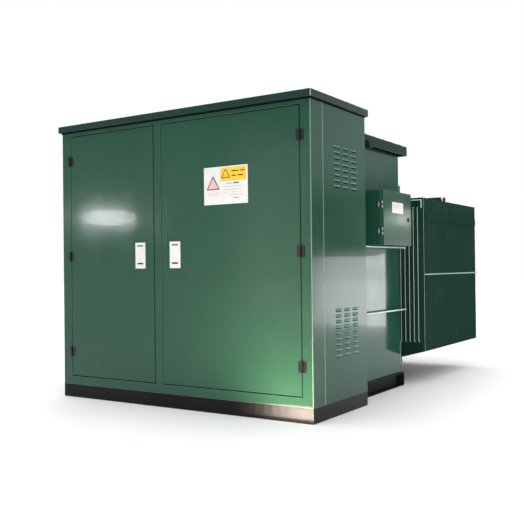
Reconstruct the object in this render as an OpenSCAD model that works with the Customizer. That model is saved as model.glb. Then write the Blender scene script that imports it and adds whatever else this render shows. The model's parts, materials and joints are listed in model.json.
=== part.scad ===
// Pad-mounted transformer: a two-door cable cabinet in front of an oil tank with panel radiators behind.
// X runs right along the doors, Y runs back from the doors to the radiators, Z is up.
// The origin is on the ground, at the middle of the whole plan.

/* [Cabinet] */
// Width of the cabinet across its side walls
cab_w = 2116; // [2000:4:2130]
// Depth of the cabinet from the door face to its back
cab_d = 748; // [720:2:800]
// Height of the top of the cabinet walls
wall_top = 1950; // [1940:5:2050]
// Height of the black plinth under the cabinet
plinth_h = 95; // [90:1:98]
// Thickness of the cabinet sheet
sheet = 3; // [2.5:0.5:3.5]
// Height of the skirt round the roof
roof_lip = 45; // [40:1:60]
// Overhang of the roof past each side wall
roof_side = 17; // [14:1:20]
// Overhang of the roof at the front and at the back
roof_front = 25; // [22:1:32]

/* [Doors] */
// Width of the door of the high-voltage side
left_door_w = 800; // [760:2:820]
// Width of the door of the low-voltage side
right_door_w = 1086; // [1060:2:1090]
// Height of the doors' lower edge
door_z0 = 158; // [150:1:170]
// Height of the doors' upper edge
door_z1 = 1913; // [1880:1:1920]
// Depth of a door pan
door_t = 30; // [28:1:34]
// Gap all round a door
door_gap = 4; // [3:0.5:5]
// Width of the left stile
stile_w = 84; // [80:1:90]
// Height of a door hinge
hinge_h = 66; // [60:1:72]

/* [Tank] */
// Width of the oil tank
tank_w = 1810; // [1780:2:1820]
// Length of the tank from front to back
tank_l = 932; // [900:2:960]
// Height of the top of the skid, which is the underside of the tank
skid_h = 100; // [96:1:104]
// Height of the top of the lid
lid_top = 1875; // [1860:1:1890]
// Thickness of the tank plate
plate = 8; // [6:1:10]

/* [Radiators] */
// Number of radiator banks across the back
banks = 4; // [4]
// Width of one radiator panel
panel_w = 520; // [500:2:522]
// Gap between two banks
bank_gap = 20; // [16:1:24]
// Number of panels in a bank
panels = 27; // [20:1:28]
// Distance from one panel to the next
panel_pitch = 50; // [45:1:52]
// Thickness of a panel
panel_t = 10; // [8:1:12]
// Height of the lower edge of a panel at its outer side
panel_z0 = 258; // [250:1:270]
// Height of the upper edge of a panel
panel_z1 = 1476; // [1460:1:1480]

/* [Control box] */
// Length of the control box along the tank
box_l = 506; // [480:2:510]
// Height of the control box
box_h = 390; // [380:1:396]

/* [Hidden] */
$fn = 48;

// Overall plan: the roof's front edge and the radiators' end caps are the two ends.
half_w = cab_w / 2;
header_cap = 8;
first_panel = 1779;
radiator_end = first_panel + (panels - 1) * panel_pitch + panel_t + header_cap;
fy = roof_front - (roof_front + radiator_end) / 2;
cab_back = fy + cab_d;
tank_back = cab_back + tank_l;
tank_x = tank_w / 2;

// Door openings, as [low x, high x], and their heights.
mullion_w = 59;
left_open = [-half_w + stile_w, -half_w + stile_w + left_door_w + 2 * door_gap];
right_open = [left_open[1] + mullion_w, left_open[1] + mullion_w + right_door_w + 2 * door_gap];
openings = [left_open, right_open];
open_z0 = door_z0 - door_gap;
open_z1 = door_z1 + door_gap;
gasket_t = 3;
stop_y = door_t + gasket_t;
stop_w = 18;
return_d = 150;
barrier_x = (left_open[1] + right_open[0]) / 2;

// Door hinges: the pin stands in front of the gap between door and stile.
hinge_zs = [337, 1031, 1731];
pin_y = fy - 8;
pin_r = 3;
knuckle_r = 7;
leaf_w = 27;
leaf_t = 4;
left_pin_x = left_open[0] + door_gap / 2;
right_pin_x = right_open[1] - door_gap / 2;

// Locks: a plate with a lifting handle, and two rods behind the door skin.
lock_z = 1028;
lock_w = 86;
lock_h = 178;
lock_inset = 120;
left_lock_x = left_open[1] - door_gap - lock_inset;
right_lock_x = right_open[0] + door_gap + lock_inset;
lock_rim = 13;
handle_h = 112;
rod_r = 6;
rod_y = fy + 15;
guide_zs = [door_z0 + 180, lock_z - 150, lock_z + 150, door_z1 - 180];

// Tank details.
rim_w = 45;
flange_t = 12;
gasket_h = 6;
lid_skirt = 72;
lid_side = 55;
flange_top = lid_top - flange_t - gasket_h;
lug_y = fy + 1000;
lug_z = 1802;
lug_disc_r = 29;
pull_plates = [[170, 330], [1508, 1572]];
rib_zs = [1078, 597];
header_r = 44.5;
header_zs = [panel_z0 + 62, panel_z1 - 62];
bank_xs = [for (i = [0 : banks - 1]) (i - (banks - 1) / 2) * (panel_w + bank_gap)];
bank_right = bank_xs[banks - 1] + panel_w / 2;
joint_y = tank_back + 50;
radiator_flange_r = 85;
radiator_flange_t = 14;

// Control box on the right wall of the tank.
ctl_y0 = fy + 1020;
ctl_z0 = 1088;
ctl_x1 = bank_right;
ctl_door_t = 20;
ctl_body_x1 = ctl_x1 - ctl_door_t - 2;
ctl_pin_x = ctl_body_x1 + 3;
ctl_pin_y = ctl_y0 - 6;
ctl_hinge_zs = [1374, 1185];
ctl_lock_y = ctl_y0 + box_l - 48;
ctl_lock_z = 1283;

// Equipment on the tank's front wall.
bushing_z = 1120;
hv_xs = [-760, -570, -380];
lv_xs = [60, 300, 540, 780];
spade_y = cab_back - 190;
spade_pitch = 44.5;
fuse_xs = hv_xs;
fuse_z = 700;
fuse_r = 17;
switch_x = -250;
switch_z = 1480;
tap_z = 1180;
shaft_r = 10;
gauge_x = -780;
gauge_z = 1560;
gauge_r = 62;
valve_x = -780;
valve_z = 270;
relief_x = -590;
relief_z = 1560;

green = [0.13, 0.28, 0.21];
steel_black = [0.06, 0.06, 0.07];
zinc = [0.75, 0.75, 0.73];
white = [0.92, 0.92, 0.9];
rubber = [0.05, 0.05, 0.05];
copper = [0.72, 0.43, 0.25];
slack = 0.3;

// A box from one corner to the opposite one.
module span(a, b) {
  translate(a) cube(b - a);
}

// A rod along Y from y0 to y1.
module rod_y(x, z, r, y0, y1) {
  translate([x, y0, z]) rotate([-90, 0, 0]) cylinder(h = y1 - y0, r = r);
}

// A rod along X from x0 to x1.
module rod_x(y, z, r, x0, x1) {
  translate([x0, y, z]) rotate([0, 90, 0]) cylinder(h = x1 - x0, r = r);
}

// A rod along Z from z0 to z1.
module rod_z(x, y, r, z0, z1) {
  translate([x, y, z0]) cylinder(h = z1 - z0, r = r);
}

// ---------- Cabinet ----------

// A ring of channel section lying flat: the web is outside and both legs point in.
module plinth_frame() {
  leg = 56;
  web = 6;
  color(steel_black)
  difference() {
    span([-half_w, fy, 0], [half_w, cab_back, plinth_h]);
    span([-half_w + web, fy + web, web], [half_w - web, cab_back - web, plinth_h - web]);
    span([-half_w + leg, fy + leg, -1], [half_w - leg, cab_back - leg, plinth_h + 1]);
    for (x = [-1, 1], y = [fy + leg / 2, cab_back - leg / 2]) {
      rod_z(x * (half_w - leg / 2), y, 9, -1, web + 1);
    }
  }
}

// The recess that one door closes into, with the stop that its gasket meets.
module door_rebate(o) {
  difference() {
    span([o[0] - sheet, fy, open_z0 - sheet], [o[1] + sheet, fy + stop_y + sheet, open_z1 + sheet]);
    span([o[0], fy - 1, open_z0], [o[1], fy + stop_y, open_z1]);
    span([o[0] + stop_w, fy - 1, open_z0 + stop_w],
      [o[1] - stop_w, fy + stop_y + sheet + 1, open_z1 - stop_w]);
  }
}

module front_frame() {
  strap = 20;
  color(green) {
    difference() {
      span([-half_w, fy, plinth_h], [half_w, fy + sheet, wall_top]);
      for (o = openings) span([o[0], fy - 1, open_z0], [o[1], fy + sheet + 1, open_z1]);
    }
    for (o = openings) door_rebate(o);
    for (s = [-1, 1]) {
      translate([s < 0 ? -half_w : half_w - sheet, fy, plinth_h])
        cube([sheet, return_d, wall_top - plinth_h]);
      translate([s < 0 ? -half_w + sheet : half_w - 2 * sheet, fy + return_d - strap, plinth_h + sheet])
        cube([sheet, 2 * strap, wall_top - plinth_h - 2 * sheet]);
    }
  }
}

// One louvre: a slot with a hood that sheds rain downwards, on a wall that faces +X.
louvre_l = 84;
louvre_pitch = 35.5;
louvre_cols = [338, 456, 574];
louvre_rows = [for (i = [0 : 7]) 1441 + i * louvre_pitch, for (i = [0 : 8]) 374 + i * louvre_pitch];
module louvre_hood() {
  translate([0, louvre_l / 2, 0]) rotate([90, 0, 0])
    linear_extrude(height = louvre_l)
      polygon([[-0.4, 16], [2, 15], [7, 2], [7, 0], [5.6, 0], [5.6, 2], [1, 13], [-0.4, 13.4]]);
}

// A side wall that faces +X; the left wall is its mirror image.
module side_panel() {
  seam = 1.5;
  hole_drop = 7;
  hole_h = 18;
  color(green) {
    difference() {
      span([half_w - sheet, fy + return_d + seam, plinth_h], [half_w, cab_back, wall_top]);
      for (c = louvre_cols, z = louvre_rows) {
        span([half_w - sheet - 1, fy + c - louvre_l / 2 + 2, z - hole_drop],
          [half_w + 1, fy + c + louvre_l / 2 - 2, z - hole_drop + hole_h]);
      }
    }
    for (c = louvre_cols, z = louvre_rows) translate([half_w, fy + c, z - 2]) louvre_hood();
  }
}

module side_panel_right() {
  side_panel();
}

module side_panel_left() {
  mirror([1, 0, 0]) side_panel();
}

// A hollow cap with a rim underneath that rests on the walls, and a low hipped top.
module roof() {
  x1 = half_w + roof_side;
  y0 = fy - roof_front;
  y1 = cab_back + roof_front;
  rim = 60;
  top = wall_top + roof_lip;
  color(green) {
    difference() {
      span([-x1, y0, wall_top], [x1, y1, top]);
      span([-x1 + sheet, y0 + sheet, wall_top + sheet], [x1 - sheet, y1 - sheet, top - sheet]);
      span([-half_w + rim, fy + rim, wall_top - 1], [half_w - rim, cab_back - rim, wall_top + sheet + 1]);
    }
    hull() {
      span([-x1, y0, top - 1], [x1, y1, top]);
      span([-x1 / 2, (y0 + y1) / 2 - 10, top], [x1 / 2, (y0 + y1) / 2 + 10, top + 10]);
    }
  }
}

// Closes the back of the cabinet round the narrower tank.
module back_flange() {
  land = 30;
  color(green)
  difference() {
    span([-half_w + sheet, cab_back - sheet, plinth_h + sheet], [half_w - sheet, cab_back, wall_top]);
    span([-tank_x + land, cab_back - sheet - 1, skid_h + land + 20],
      [tank_x - land, cab_back + 1, lid_top - lid_skirt - land]);
  }
}

module compartment_barrier() {
  color(green)
    span([barrier_x - sheet / 2, fy + stop_y + sheet, plinth_h + sheet],
      [barrier_x + sheet / 2, cab_back - sheet, wall_top]);
}

gland_r = 46;
gland_y = fy + 320;
hv_gland_xs = hv_xs;
lv_gland_xs = [0, 170, 340, 510, 680, 850];
module floor_plates() {
  edge = 6;
  color(green)
  difference() {
    union() {
      span([-half_w + edge, fy + edge, plinth_h], [barrier_x - edge, cab_back - edge, plinth_h + sheet]);
      span([barrier_x + edge, fy + edge, plinth_h], [half_w - edge, cab_back - edge, plinth_h + sheet]);
    }
    for (x = concat(hv_gland_xs, lv_gland_xs)) rod_z(x, gland_y, gland_r, plinth_h - 1, plinth_h + sheet + 1);
  }
}

// Rubber entry grommets with a closed dome that is cut open for a cable.
module cable_glands() {
  color(rubber)
  for (x = concat(hv_gland_xs, lv_gland_xs)) {
    translate([x, gland_y, plinth_h])
      rotate_extrude()
        polygon([[0, 40], [22, 40], [40, sheet + 6], [56, sheet + 4], [56, sheet], [45.6, sheet],
          [45.6, 0], [56, 0], [56, -4], [40, -4], [40, 2], [20, 36], [0, 36]]);
  }
}

// Strips on the door stops, just clear of the closed doors.
module door_gaskets() {
  strip = 12;
  color(rubber)
  for (o = openings) {
    difference() {
      span([o[0] + 5, fy + door_t + 0.3, open_z0 + 5], [o[1] - 5, fy + stop_y, open_z1 - 5]);
      span([o[0] + 5 + strip, fy + door_t - 1, open_z0 + 5 + strip],
        [o[1] - 5 - strip, fy + stop_y + 1, open_z1 - 5 - strip]);
    }
  }
}

// ---------- Door hinges ----------

third = hinge_h / 3;

// Fixed half: a leaf on the stile, two knuckles and the pin. side is -1 at the left stile.
module fixed_half(x, z, side) {
  lo = x + side * (knuckle_r + 0.8);
  hi = x + side * leaf_w;
  span([min(lo, hi), fy - leaf_t, z - hinge_h / 2], [max(lo, hi), fy, z + hinge_h / 2]);
  for (k = [-1, 1]) {
    zk = z + k * third;
    rod_z(x, pin_y, knuckle_r, zk - third / 2 + slack, zk + third / 2 - slack);
    span([min(x, lo), pin_y + 4, zk - third / 2 + slack], [max(x, lo), fy, zk + third / 2 - slack]);
  }
  rod_z(x, pin_y, pin_r, z - hinge_h / 2 - 3, z + hinge_h / 2 + 3);
}

// Moving half: a leaf on the door and the middle knuckle, bored for the pin.
module moving_half(x, z, side) {
  lo = x - side * (knuckle_r + 0.8);
  hi = x - side * leaf_w;
  difference() {
    union() {
      span([min(lo, hi), fy - leaf_t, z - hinge_h / 2], [max(lo, hi), fy, z + hinge_h / 2]);
      rod_z(x, pin_y, knuckle_r, z - third / 2 + slack, z + third / 2 - slack);
      span([min(x, lo), pin_y + 4, z - third / 2 + slack], [max(x, lo), fy, z + third / 2 - slack]);
    }
    rod_z(x, pin_y, pin_r + 0.06, z - third, z + third);
  }
}

module frame_hinges() {
  color(steel_black)
  for (z = hinge_zs) {
    fixed_half(left_pin_x, z, -1);
    fixed_half(right_pin_x, z, 1);
  }
}

module left_door_hinges() {
  color(steel_black)
  for (z = hinge_zs) moving_half(left_pin_x, z, -1);
}

module right_door_hinges() {
  color(steel_black)
  for (z = hinge_zs) moving_half(right_pin_x, z, 1);
}

// ---------- Doors ----------

// A door pan: skin, returned edges, an inner frame and two ribs, cut for its lock and rods.
module door_pan(x0, x1, lock_x) {
  lip = 24;
  skin = 2.5;
  rib_z = [door_z0 + 0.3 * (door_z1 - door_z0), door_z0 + 0.7 * (door_z1 - door_z0)];
  difference() {
    union() {
      difference() {
        span([x0, fy, door_z0], [x1, fy + door_t, door_z1]);
        span([x0 + skin, fy + skin, door_z0 + skin],
          [x1 - skin, fy + door_t - skin, door_z1 - skin]);
        span([x0 + lip, fy + skin, door_z0 + lip], [x1 - lip, fy + door_t + 1, door_z1 - lip]);
      }
      for (z = rib_z) {
        span([x0 + lip + 6, fy + skin, z - 40], [x1 - lip - 6, fy + 6, z + 40]);
      }
      for (z = guide_zs) span([lock_x - 14, fy + skin, z - 10], [lock_x + 14, rod_y + 12, z + 10]);
    }
    for (z = guide_zs) rod_z(lock_x, rod_y, rod_r + slack, z - 11, z + 11);
    span([lock_x - lock_w / 2 + lock_rim - 1, fy - 1, lock_z - lock_h / 2 + lock_rim - 1],
      [lock_x + lock_w / 2 - lock_rim + 1, fy + 9, lock_z + lock_h / 2 - lock_rim + 1]);
    rod_z(lock_x, rod_y, rod_r + 0.3, door_z0 - 1, door_z0 + lip + 1);
    rod_z(lock_x, rod_y, rod_r + 0.3, door_z1 - lip - 1, door_z1 + 1);
  }
}

module door_left() {
  color(green) door_pan(left_open[0] + door_gap, left_open[1] - door_gap, left_lock_x);
}

module door_right() {
  color(green) door_pan(right_open[0] + door_gap, right_open[1] - door_gap, right_lock_x);
}

// The lock's frame: a rim on the skin and a tray behind it; the handle's pin turns in its sides.
module lock_plate(x) {
  rim_t = 9;
  slot_up = 24;
  finger_gap = 11;
  in_w = lock_w / 2 - lock_rim;
  in_h = lock_h / 2 - lock_rim;
  difference() {
    union() {
      span([x - lock_w / 2, fy - rim_t, lock_z - lock_h / 2], [x + lock_w / 2, fy, lock_z + lock_h / 2]);
      span([x - in_w, fy, lock_z - in_h], [x + in_w, fy + 5.5, lock_z + in_h]);
    }
    span([x - in_w + 3, fy - rim_t - 1, handle_top - handle_h - finger_gap],
      [x + in_w - 3, fy + 3, lock_z + in_h - 3]);
    span([x - 12, fy, lock_z - in_h + slot_up], [x + 12, fy + 6, lock_z]);
    rod_x(handle_y, handle_top - 4, handle_pin_r + 0.06, x - in_w - 4, x + in_w + 4);
  }
}

module left_lock_plate() {
  color(white) lock_plate(left_lock_x);
}

module right_lock_plate() {
  color(white) lock_plate(right_lock_x);
}

// The handle hangs from its top edge inside the lock plate and lifts outwards.
handle_w = lock_w - 2 * lock_rim - 8;
handle_top = lock_z + handle_h / 2 + 6;
handle_y = fy - 4;
handle_pin_r = 2.5;
module lock_handle(x) {
  span([x - handle_w / 2, fy - 8.5, handle_top - handle_h], [x + handle_w / 2, fy - 3, handle_top - 4]);
  rod_x(handle_y, handle_top - 4, 4.5, x - handle_w / 2, x + handle_w / 2);
  rod_x(handle_y, handle_top - 4, handle_pin_r, x - handle_w / 2 - 5, x + handle_w / 2 + 5);
  span([x - 8, fy - 4, lock_z - 34], [x + 8, fy + 7.5, lock_z - 22]);
}

module left_handle() {
  color(white) lock_handle(left_lock_x);
}

module right_handle() {
  color(white) lock_handle(right_lock_x);
}

// Lock rods: each ends just inside the edge of the door.
module upper_rod(x) {
  rod_z(x, rod_y, rod_r, lock_z + 40, door_z1 - 2);
}

module lower_rod(x) {
  rod_z(x, rod_y, rod_r, door_z0 + 2, lock_z - 45);
}

module left_upper_rod() {
  color(zinc) upper_rod(left_lock_x);
}

module left_lower_rod() {
  color(zinc) lower_rod(left_lock_x);
}

module right_upper_rod() {
  color(zinc) upper_rod(right_lock_x);
}

module right_lower_rod() {
  color(zinc) lower_rod(right_lock_x);
}

// A thin plate on the right door, held by four dome rivets.
sign_x = 435;
sign_z = 1465;
sign_w = 344;
sign_h = 243;
module sign_plate() {
  color(white) {
    span([sign_x - sign_w / 2, fy - 1.5, sign_z - sign_h / 2], [sign_x + sign_w / 2, fy, sign_z + sign_h / 2]);
    for (sx = [-1, 1], sz = [-1, 1]) {
      rod_y(sign_x + sx * (sign_w / 2 - 10), sign_z + sz * (sign_h / 2 - 10), 4, fy - 3.5, fy - 1);
    }
  }
}

// ---------- Tank ----------

// Two side channels that open outwards, tied by three cross channels.
module tank_skid() {
  tip = 930;
  leg = 45;
  t = 8;
  y0 = cab_back + 2;
  y1 = tank_back + 12;
  color(steel_black) {
    for (s = [0, 1]) mirror([s, 0, 0]) {
      difference() {
        span([tip - leg, y0, 0], [tip, y1, skid_h]);
        span([tip - leg + t, y0 - 1, t], [tip + 1, y1 - t, skid_h - t]);
      }
    }
    for (y = [y0 + 10, (y0 + y1) / 2 - 30, y1 - 70]) {
      difference() {
        span([-tip + leg, y, 0], [tip - leg, y + 60, skid_h]);
        span([-tip + leg - 1, y + t, t], [tip - leg + 1, y + 61, skid_h - t]);
      }
    }
  }
}

// Places where one lid bolt goes, round the rim.
bolt_line_x = tank_x + rim_w / 2 + 4;
bolt_line_back = tank_back + rim_w / 2 + 4;
bolt_line_front = cab_back + 24;
bolt_sides = 6;
bolt_rows = 9;
bolt_places = concat(
  [for (s = [-1, 1], i = [0 : bolt_sides - 1])
    [s * bolt_line_x, bolt_line_front + (i + 0.5) * (bolt_line_back - bolt_line_front) / bolt_sides]],
  [for (i = [0 : bolt_rows - 1]) [(i / (bolt_rows - 1) - 0.5) * 2 * (tank_x - 50), bolt_line_front]],
  [for (i = [0 : bolt_rows - 1]) [(i / (bolt_rows - 1) - 0.5) * 2 * (tank_x - 5), bolt_line_back]]);
bolt_r = 8;

// Radii and places of every hole in the tank's front wall: [x, z, r].
front_holes = concat(
  [for (x = hv_xs) [x, bushing_z, 55]],
  [for (x = lv_xs) [x, bushing_z, 60]],
  [for (x = fuse_xs) [x, fuse_z, 30]],
  [[switch_x, switch_z, 22], [switch_x, tap_z, 22], [gauge_x, gauge_z, 14], [valve_x, valve_z, 20],
    [relief_x, relief_z, 20]]);

module tank_shell() {
  color(green)
  difference() {
    union() {
      difference() {
        span([-tank_x, cab_back, skid_h], [tank_x, tank_back, flange_top]);
        span([-tank_x + plate, cab_back + plate, skid_h + plate],
          [tank_x - plate, tank_back - plate, flange_top + 1]);
      }
      difference() {
        span([-tank_x - rim_w, cab_back, flange_top - flange_t],
          [tank_x + rim_w, tank_back + rim_w, flange_top]);
        span([-tank_x + rim_w, cab_back + rim_w, flange_top - flange_t - 1],
          [tank_x - rim_w, tank_back - rim_w, flange_top + 1]);
      }
      for (x = bank_xs, z = header_zs) {
        rod_y(x, z, header_r, tank_back - 1, joint_y);
        rod_y(x, z, radiator_flange_r, joint_y - radiator_flange_t, joint_y);
      }
    }
    for (x = bank_xs, z = header_zs) rod_y(x, z, header_r - 4, tank_back - plate - 1, joint_y + 1);
    for (h = front_holes) rod_y(h[0], h[1], h[2], cab_back - 1, cab_back + plate + 1);
    for (b = bolt_places) rod_z(b[0], b[1], bolt_r + 1, flange_top - flange_t - 1, flange_top + 1);
  }
}

// Flat bars welded along the side walls of the tank.
module tank_stiffeners() {
  bar_w = 52;
  bar_t = 12;
  color(green)
  for (s = [-1, 1], z = rib_zs) {
    span([s < 0 ? -tank_x - bar_w : tank_x, cab_back + 2, z - bar_t / 2],
      [s < 0 ? -tank_x : tank_x + bar_w, tank_back + 10, z + bar_t / 2]);
  }
}

// A plate with a drip skirt at the sides and the back, notched over the lifting lugs.
module tank_lid() {
  x1 = tank_x + lid_side;
  y0 = cab_back + 2;
  y1 = tank_back + 48;
  color(green)
  difference() {
    span([-x1, y0, lid_top - lid_skirt], [x1, y1, lid_top]);
    span([-x1 + sheet, y0 - 1, lid_top - lid_skirt - 1], [x1 - sheet, y1 - sheet, lid_top - flange_t]);
    for (s = [-1, 1]) {
      span([s * (x1 - 10) - 20, lug_y - lug_disc_r - 4, lid_top - lid_skirt - 1],
        [s * (x1 - 10) + 20, lug_y + lug_disc_r + 4, lug_z + lug_disc_r + 4]);
    }
    for (b = bolt_places) rod_z(b[0], b[1], bolt_r + 1, lid_top - flange_t - 1, lid_top + 1);
  }
}

module lid_gasket() {
  color(rubber)
  difference() {
    span([-tank_x - rim_w, cab_back + 3, flange_top], [tank_x + rim_w, tank_back + rim_w, flange_top + gasket_h]);
    span([-tank_x + 5, cab_back + 50, flange_top - 1], [tank_x - 5, tank_back - 5, flange_top + gasket_h + 1]);
    for (b = bolt_places) rod_z(b[0], b[1], bolt_r + 1, flange_top - 1, flange_top + gasket_h + 1);
  }
}

module lid_bolts() {
  head_r = 14;
  nut_z = flange_top - flange_t;
  color(zinc)
  for (b = bolt_places) {
    rod_z(b[0], b[1], bolt_r, nut_z - 14, lid_top);
    translate([b[0], b[1], lid_top]) cylinder(h = 10, r = head_r, $fn = 6);
    translate([b[0], b[1], nut_z - 12]) cylinder(h = 12, r = head_r, $fn = 6);
  }
}

// Trunnions for the slings, and pulling plates at the back corners.
module lifting_lugs() {
  color(green) {
    for (s = [-1, 1]) {
      x0 = s < 0 ? -tank_x - 80 : tank_x;
      rod_x(lug_y, lug_z, 20, x0, x0 + 80);
      rod_x(lug_y, lug_z, lug_disc_r, s < 0 ? x0 - 8 : x0 + 70, s < 0 ? x0 + 10 : x0 + 88);
      for (p = pull_plates) {
        span([s < 0 ? -tank_x : tank_x - 14, tank_back, p[0]],
          [s < 0 ? -tank_x + 14 : tank_x, tank_back + 34, p[1]]);
      }
    }
    for (x = [-540, 540]) {
      rod_y(x, lug_z - 60, 20, tank_back, tank_back + 40);
      rod_y(x, lug_z - 60, lug_disc_r, tank_back + 32, tank_back + 46);
    }
  }
}

// ---------- Radiators ----------

// Outline of one panel: a flat top, and a lower edge that drains towards the header.
module panel_outline() {
  hw = panel_w / 2;
  drop = 50;
  polygon([[-hw, panel_z0 + 12], [-hw, panel_z1 - 6], [-hw + 6, panel_z1], [hw - 6, panel_z1],
    [hw, panel_z1 - 6], [hw, panel_z0 + 12], [hw - 6, panel_z0], [70, panel_z0 - drop],
    [-70, panel_z0 - drop], [-hw + 6, panel_z0]]);
}

module radiator_bank(x) {
  color(green)
  translate([x, 0, 0]) {
    for (i = [0 : panels - 1]) {
      translate([0, fy + first_panel + i * panel_pitch + panel_t, 0]) rotate([90, 0, 0])
        linear_extrude(height = panel_t) panel_outline();
    }
    for (z = header_zs) {
      rod_y(0, z, header_r, joint_y, fy + radiator_end);
      rod_y(0, z, radiator_flange_r, joint_y, joint_y + radiator_flange_t);
    }
  }
}

module radiator_bank_1() {
  radiator_bank(bank_xs[0]);
}

module radiator_bank_2() {
  radiator_bank(bank_xs[1]);
}

module radiator_bank_3() {
  radiator_bank(bank_xs[2]);
}

module radiator_bank_4() {
  radiator_bank(bank_xs[3]);
}

// A round bar and a flat strap along each outer side, and a flat bar across the top of the banks.
module radiator_tie_bars() {
  bar_r = 6;
  y0 = fy + first_panel + 10;
  y1 = fy + radiator_end - header_cap;
  bar_y = fy + 2180;
  color(green) {
      for (s = [-1, 1]) {
      rod_y(s * (bank_right + bar_r), 868, bar_r, y0, y1);
      span([s < 0 ? -bank_right - 3 : bank_right, y0 + 50, 1300], [s < 0 ? -bank_right : bank_right + 3, y1, 1362]);
    }
    span([-bank_right, bar_y, panel_z1], [bank_right, bar_y + 12, panel_z1 + 29]);
  }
}

// Air bleed plugs and lifting eyes on top of each bank.
module bleed_plugs() {
  plug_y = fy + first_panel + 12 * panel_pitch + panel_t / 2;
  eye_y = plug_y + 1.5 * panel_pitch;
  color(zinc)
  for (x = bank_xs) {
    px = x + 190;
    translate([px, plug_y, panel_z1]) cylinder(h = 30, r = 9);
    span([px - 20, eye_y - 32, panel_z1], [px + 20, eye_y + 32, panel_z1 + 8]);
    translate([px - 5, eye_y, panel_z1 + 30]) rotate([0, 90, 0])
      difference() {
        cylinder(h = 10, r = 24);
        translate([0, 0, -1]) cylinder(h = 12, r = 12);
      }
  }
}

// ---------- Control box ----------

module control_box() {
  t = 2.5;
  y1 = ctl_y0 + box_l;
  z1 = ctl_z0 + box_h;
  color(green)
  difference() {
    span([tank_x, ctl_y0, ctl_z0], [ctl_body_x1, y1, z1]);
    span([tank_x + t, ctl_y0 + t, ctl_z0 + t], [ctl_body_x1 - t, y1 - t, z1 - t]);
    span([ctl_body_x1 - t - 1, ctl_y0 + 20, ctl_z0 + 20], [ctl_body_x1 + 1, y1 - 20, z1 - 20]);
  }
}

// Fixed halves of the control box's hinges, with their pins.
ctl_hinge_h = 50;
ctl_knuckle_r = 5;
module control_box_hinges() {
  color(zinc)
  for (z = ctl_hinge_zs) {
    for (k = [-1, 1]) {
      rod_z(ctl_pin_x, ctl_pin_y, ctl_knuckle_r, z + k * 17 - 8, z + k * 17 + 8);
      span([ctl_pin_x - 26, ctl_pin_y + 3, z + k * 17 - 8], [ctl_pin_x, ctl_y0, z + k * 17 + 8]);
    }
    rod_z(ctl_pin_x, ctl_pin_y, 2, z - ctl_hinge_h / 2 - 2, z + ctl_hinge_h / 2 + 2);
  }
}

// A shallow pan that covers the box's open side, with its own hinge knuckles.
module control_box_door() {
  t = 2.5;
  x0 = ctl_body_x1 + 2;
  y1 = ctl_y0 + box_l;
  z1 = ctl_z0 + box_h;
  color(green)
  difference() {
    union() {
      difference() {
        span([x0, ctl_y0, ctl_z0], [ctl_x1, y1, z1]);
        span([x0 - 1, ctl_y0 + t, ctl_z0 + t], [ctl_x1 - t, y1 - t, z1 - t]);
      }
      for (z = ctl_hinge_zs) {
        rod_z(ctl_pin_x, ctl_pin_y, ctl_knuckle_r, z - 8, z + 8);
        span([ctl_pin_x, ctl_pin_y - 3, z - 8], [x0 + 14, ctl_pin_y, z + 8]);
        span([x0 + 8, ctl_pin_y - 3, z - 8], [x0 + 14, ctl_y0 + 1, z + 8]);
      }
    }
    for (z = ctl_hinge_zs) rod_z(ctl_pin_x, ctl_pin_y, 2.06, z - 10, z + 10);
    rod_x(ctl_lock_y, ctl_lock_z, 11 + slack, ctl_x1 - 10, ctl_x1 + 1);
  }
}

// A quarter-turn lock: a round head, a barrel through the door and a tongue behind the frame.
module control_box_lock() {
  color(zinc)
  difference() {
    union() {
      rod_x(ctl_lock_y, ctl_lock_z, 17, ctl_x1, ctl_x1 + 7);
      rod_x(ctl_lock_y, ctl_lock_z, 11, ctl_x1 - 16, ctl_x1);
      span([ctl_x1 - 16, ctl_lock_y - 9, ctl_lock_z - 9], [ctl_x1 - 12, ctl_lock_y + 30, ctl_lock_z + 9]);
    }
    span([ctl_x1 + 4, ctl_lock_y - 2, ctl_lock_z - 9], [ctl_x1 + 8, ctl_lock_y + 2, ctl_lock_z + 9]);
  }
}

module control_label() {
  color(white)
    span([ctl_x1, ctl_y0 + 150, 1322], [ctl_x1 + 1.5, ctl_y0 + 350, 1400]);
}

// Back plate, a rail of terminal blocks and a temperature controller.
module control_gear() {
  x0 = tank_x + 2.5;
  color(zinc) {
    span([x0, ctl_y0 + 40, ctl_z0 + 40], [x0 + 2, ctl_y0 + box_l - 40, ctl_z0 + box_h - 40]);
    span([x0 + 2, ctl_y0 + 60, ctl_z0 + 90], [x0 + 9, ctl_y0 + box_l - 60, ctl_z0 + 125]);
    for (i = [0 : 23]) {
      span([x0 + 9, ctl_y0 + 80 + i * 14, ctl_z0 + 82], [x0 + 49, ctl_y0 + 91 + i * 14, ctl_z0 + 133]);
    }
    span([x0 + 2, ctl_y0 + 90, ctl_z0 + 190], [x0 + 82, ctl_y0 + 210, ctl_z0 + 310]);
    span([x0 + 2, ctl_y0 + 280, ctl_z0 + 200], [x0 + 62, ctl_y0 + 420, ctl_z0 + 300]);
  }
}

// ---------- Inside the tank ----------

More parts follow.
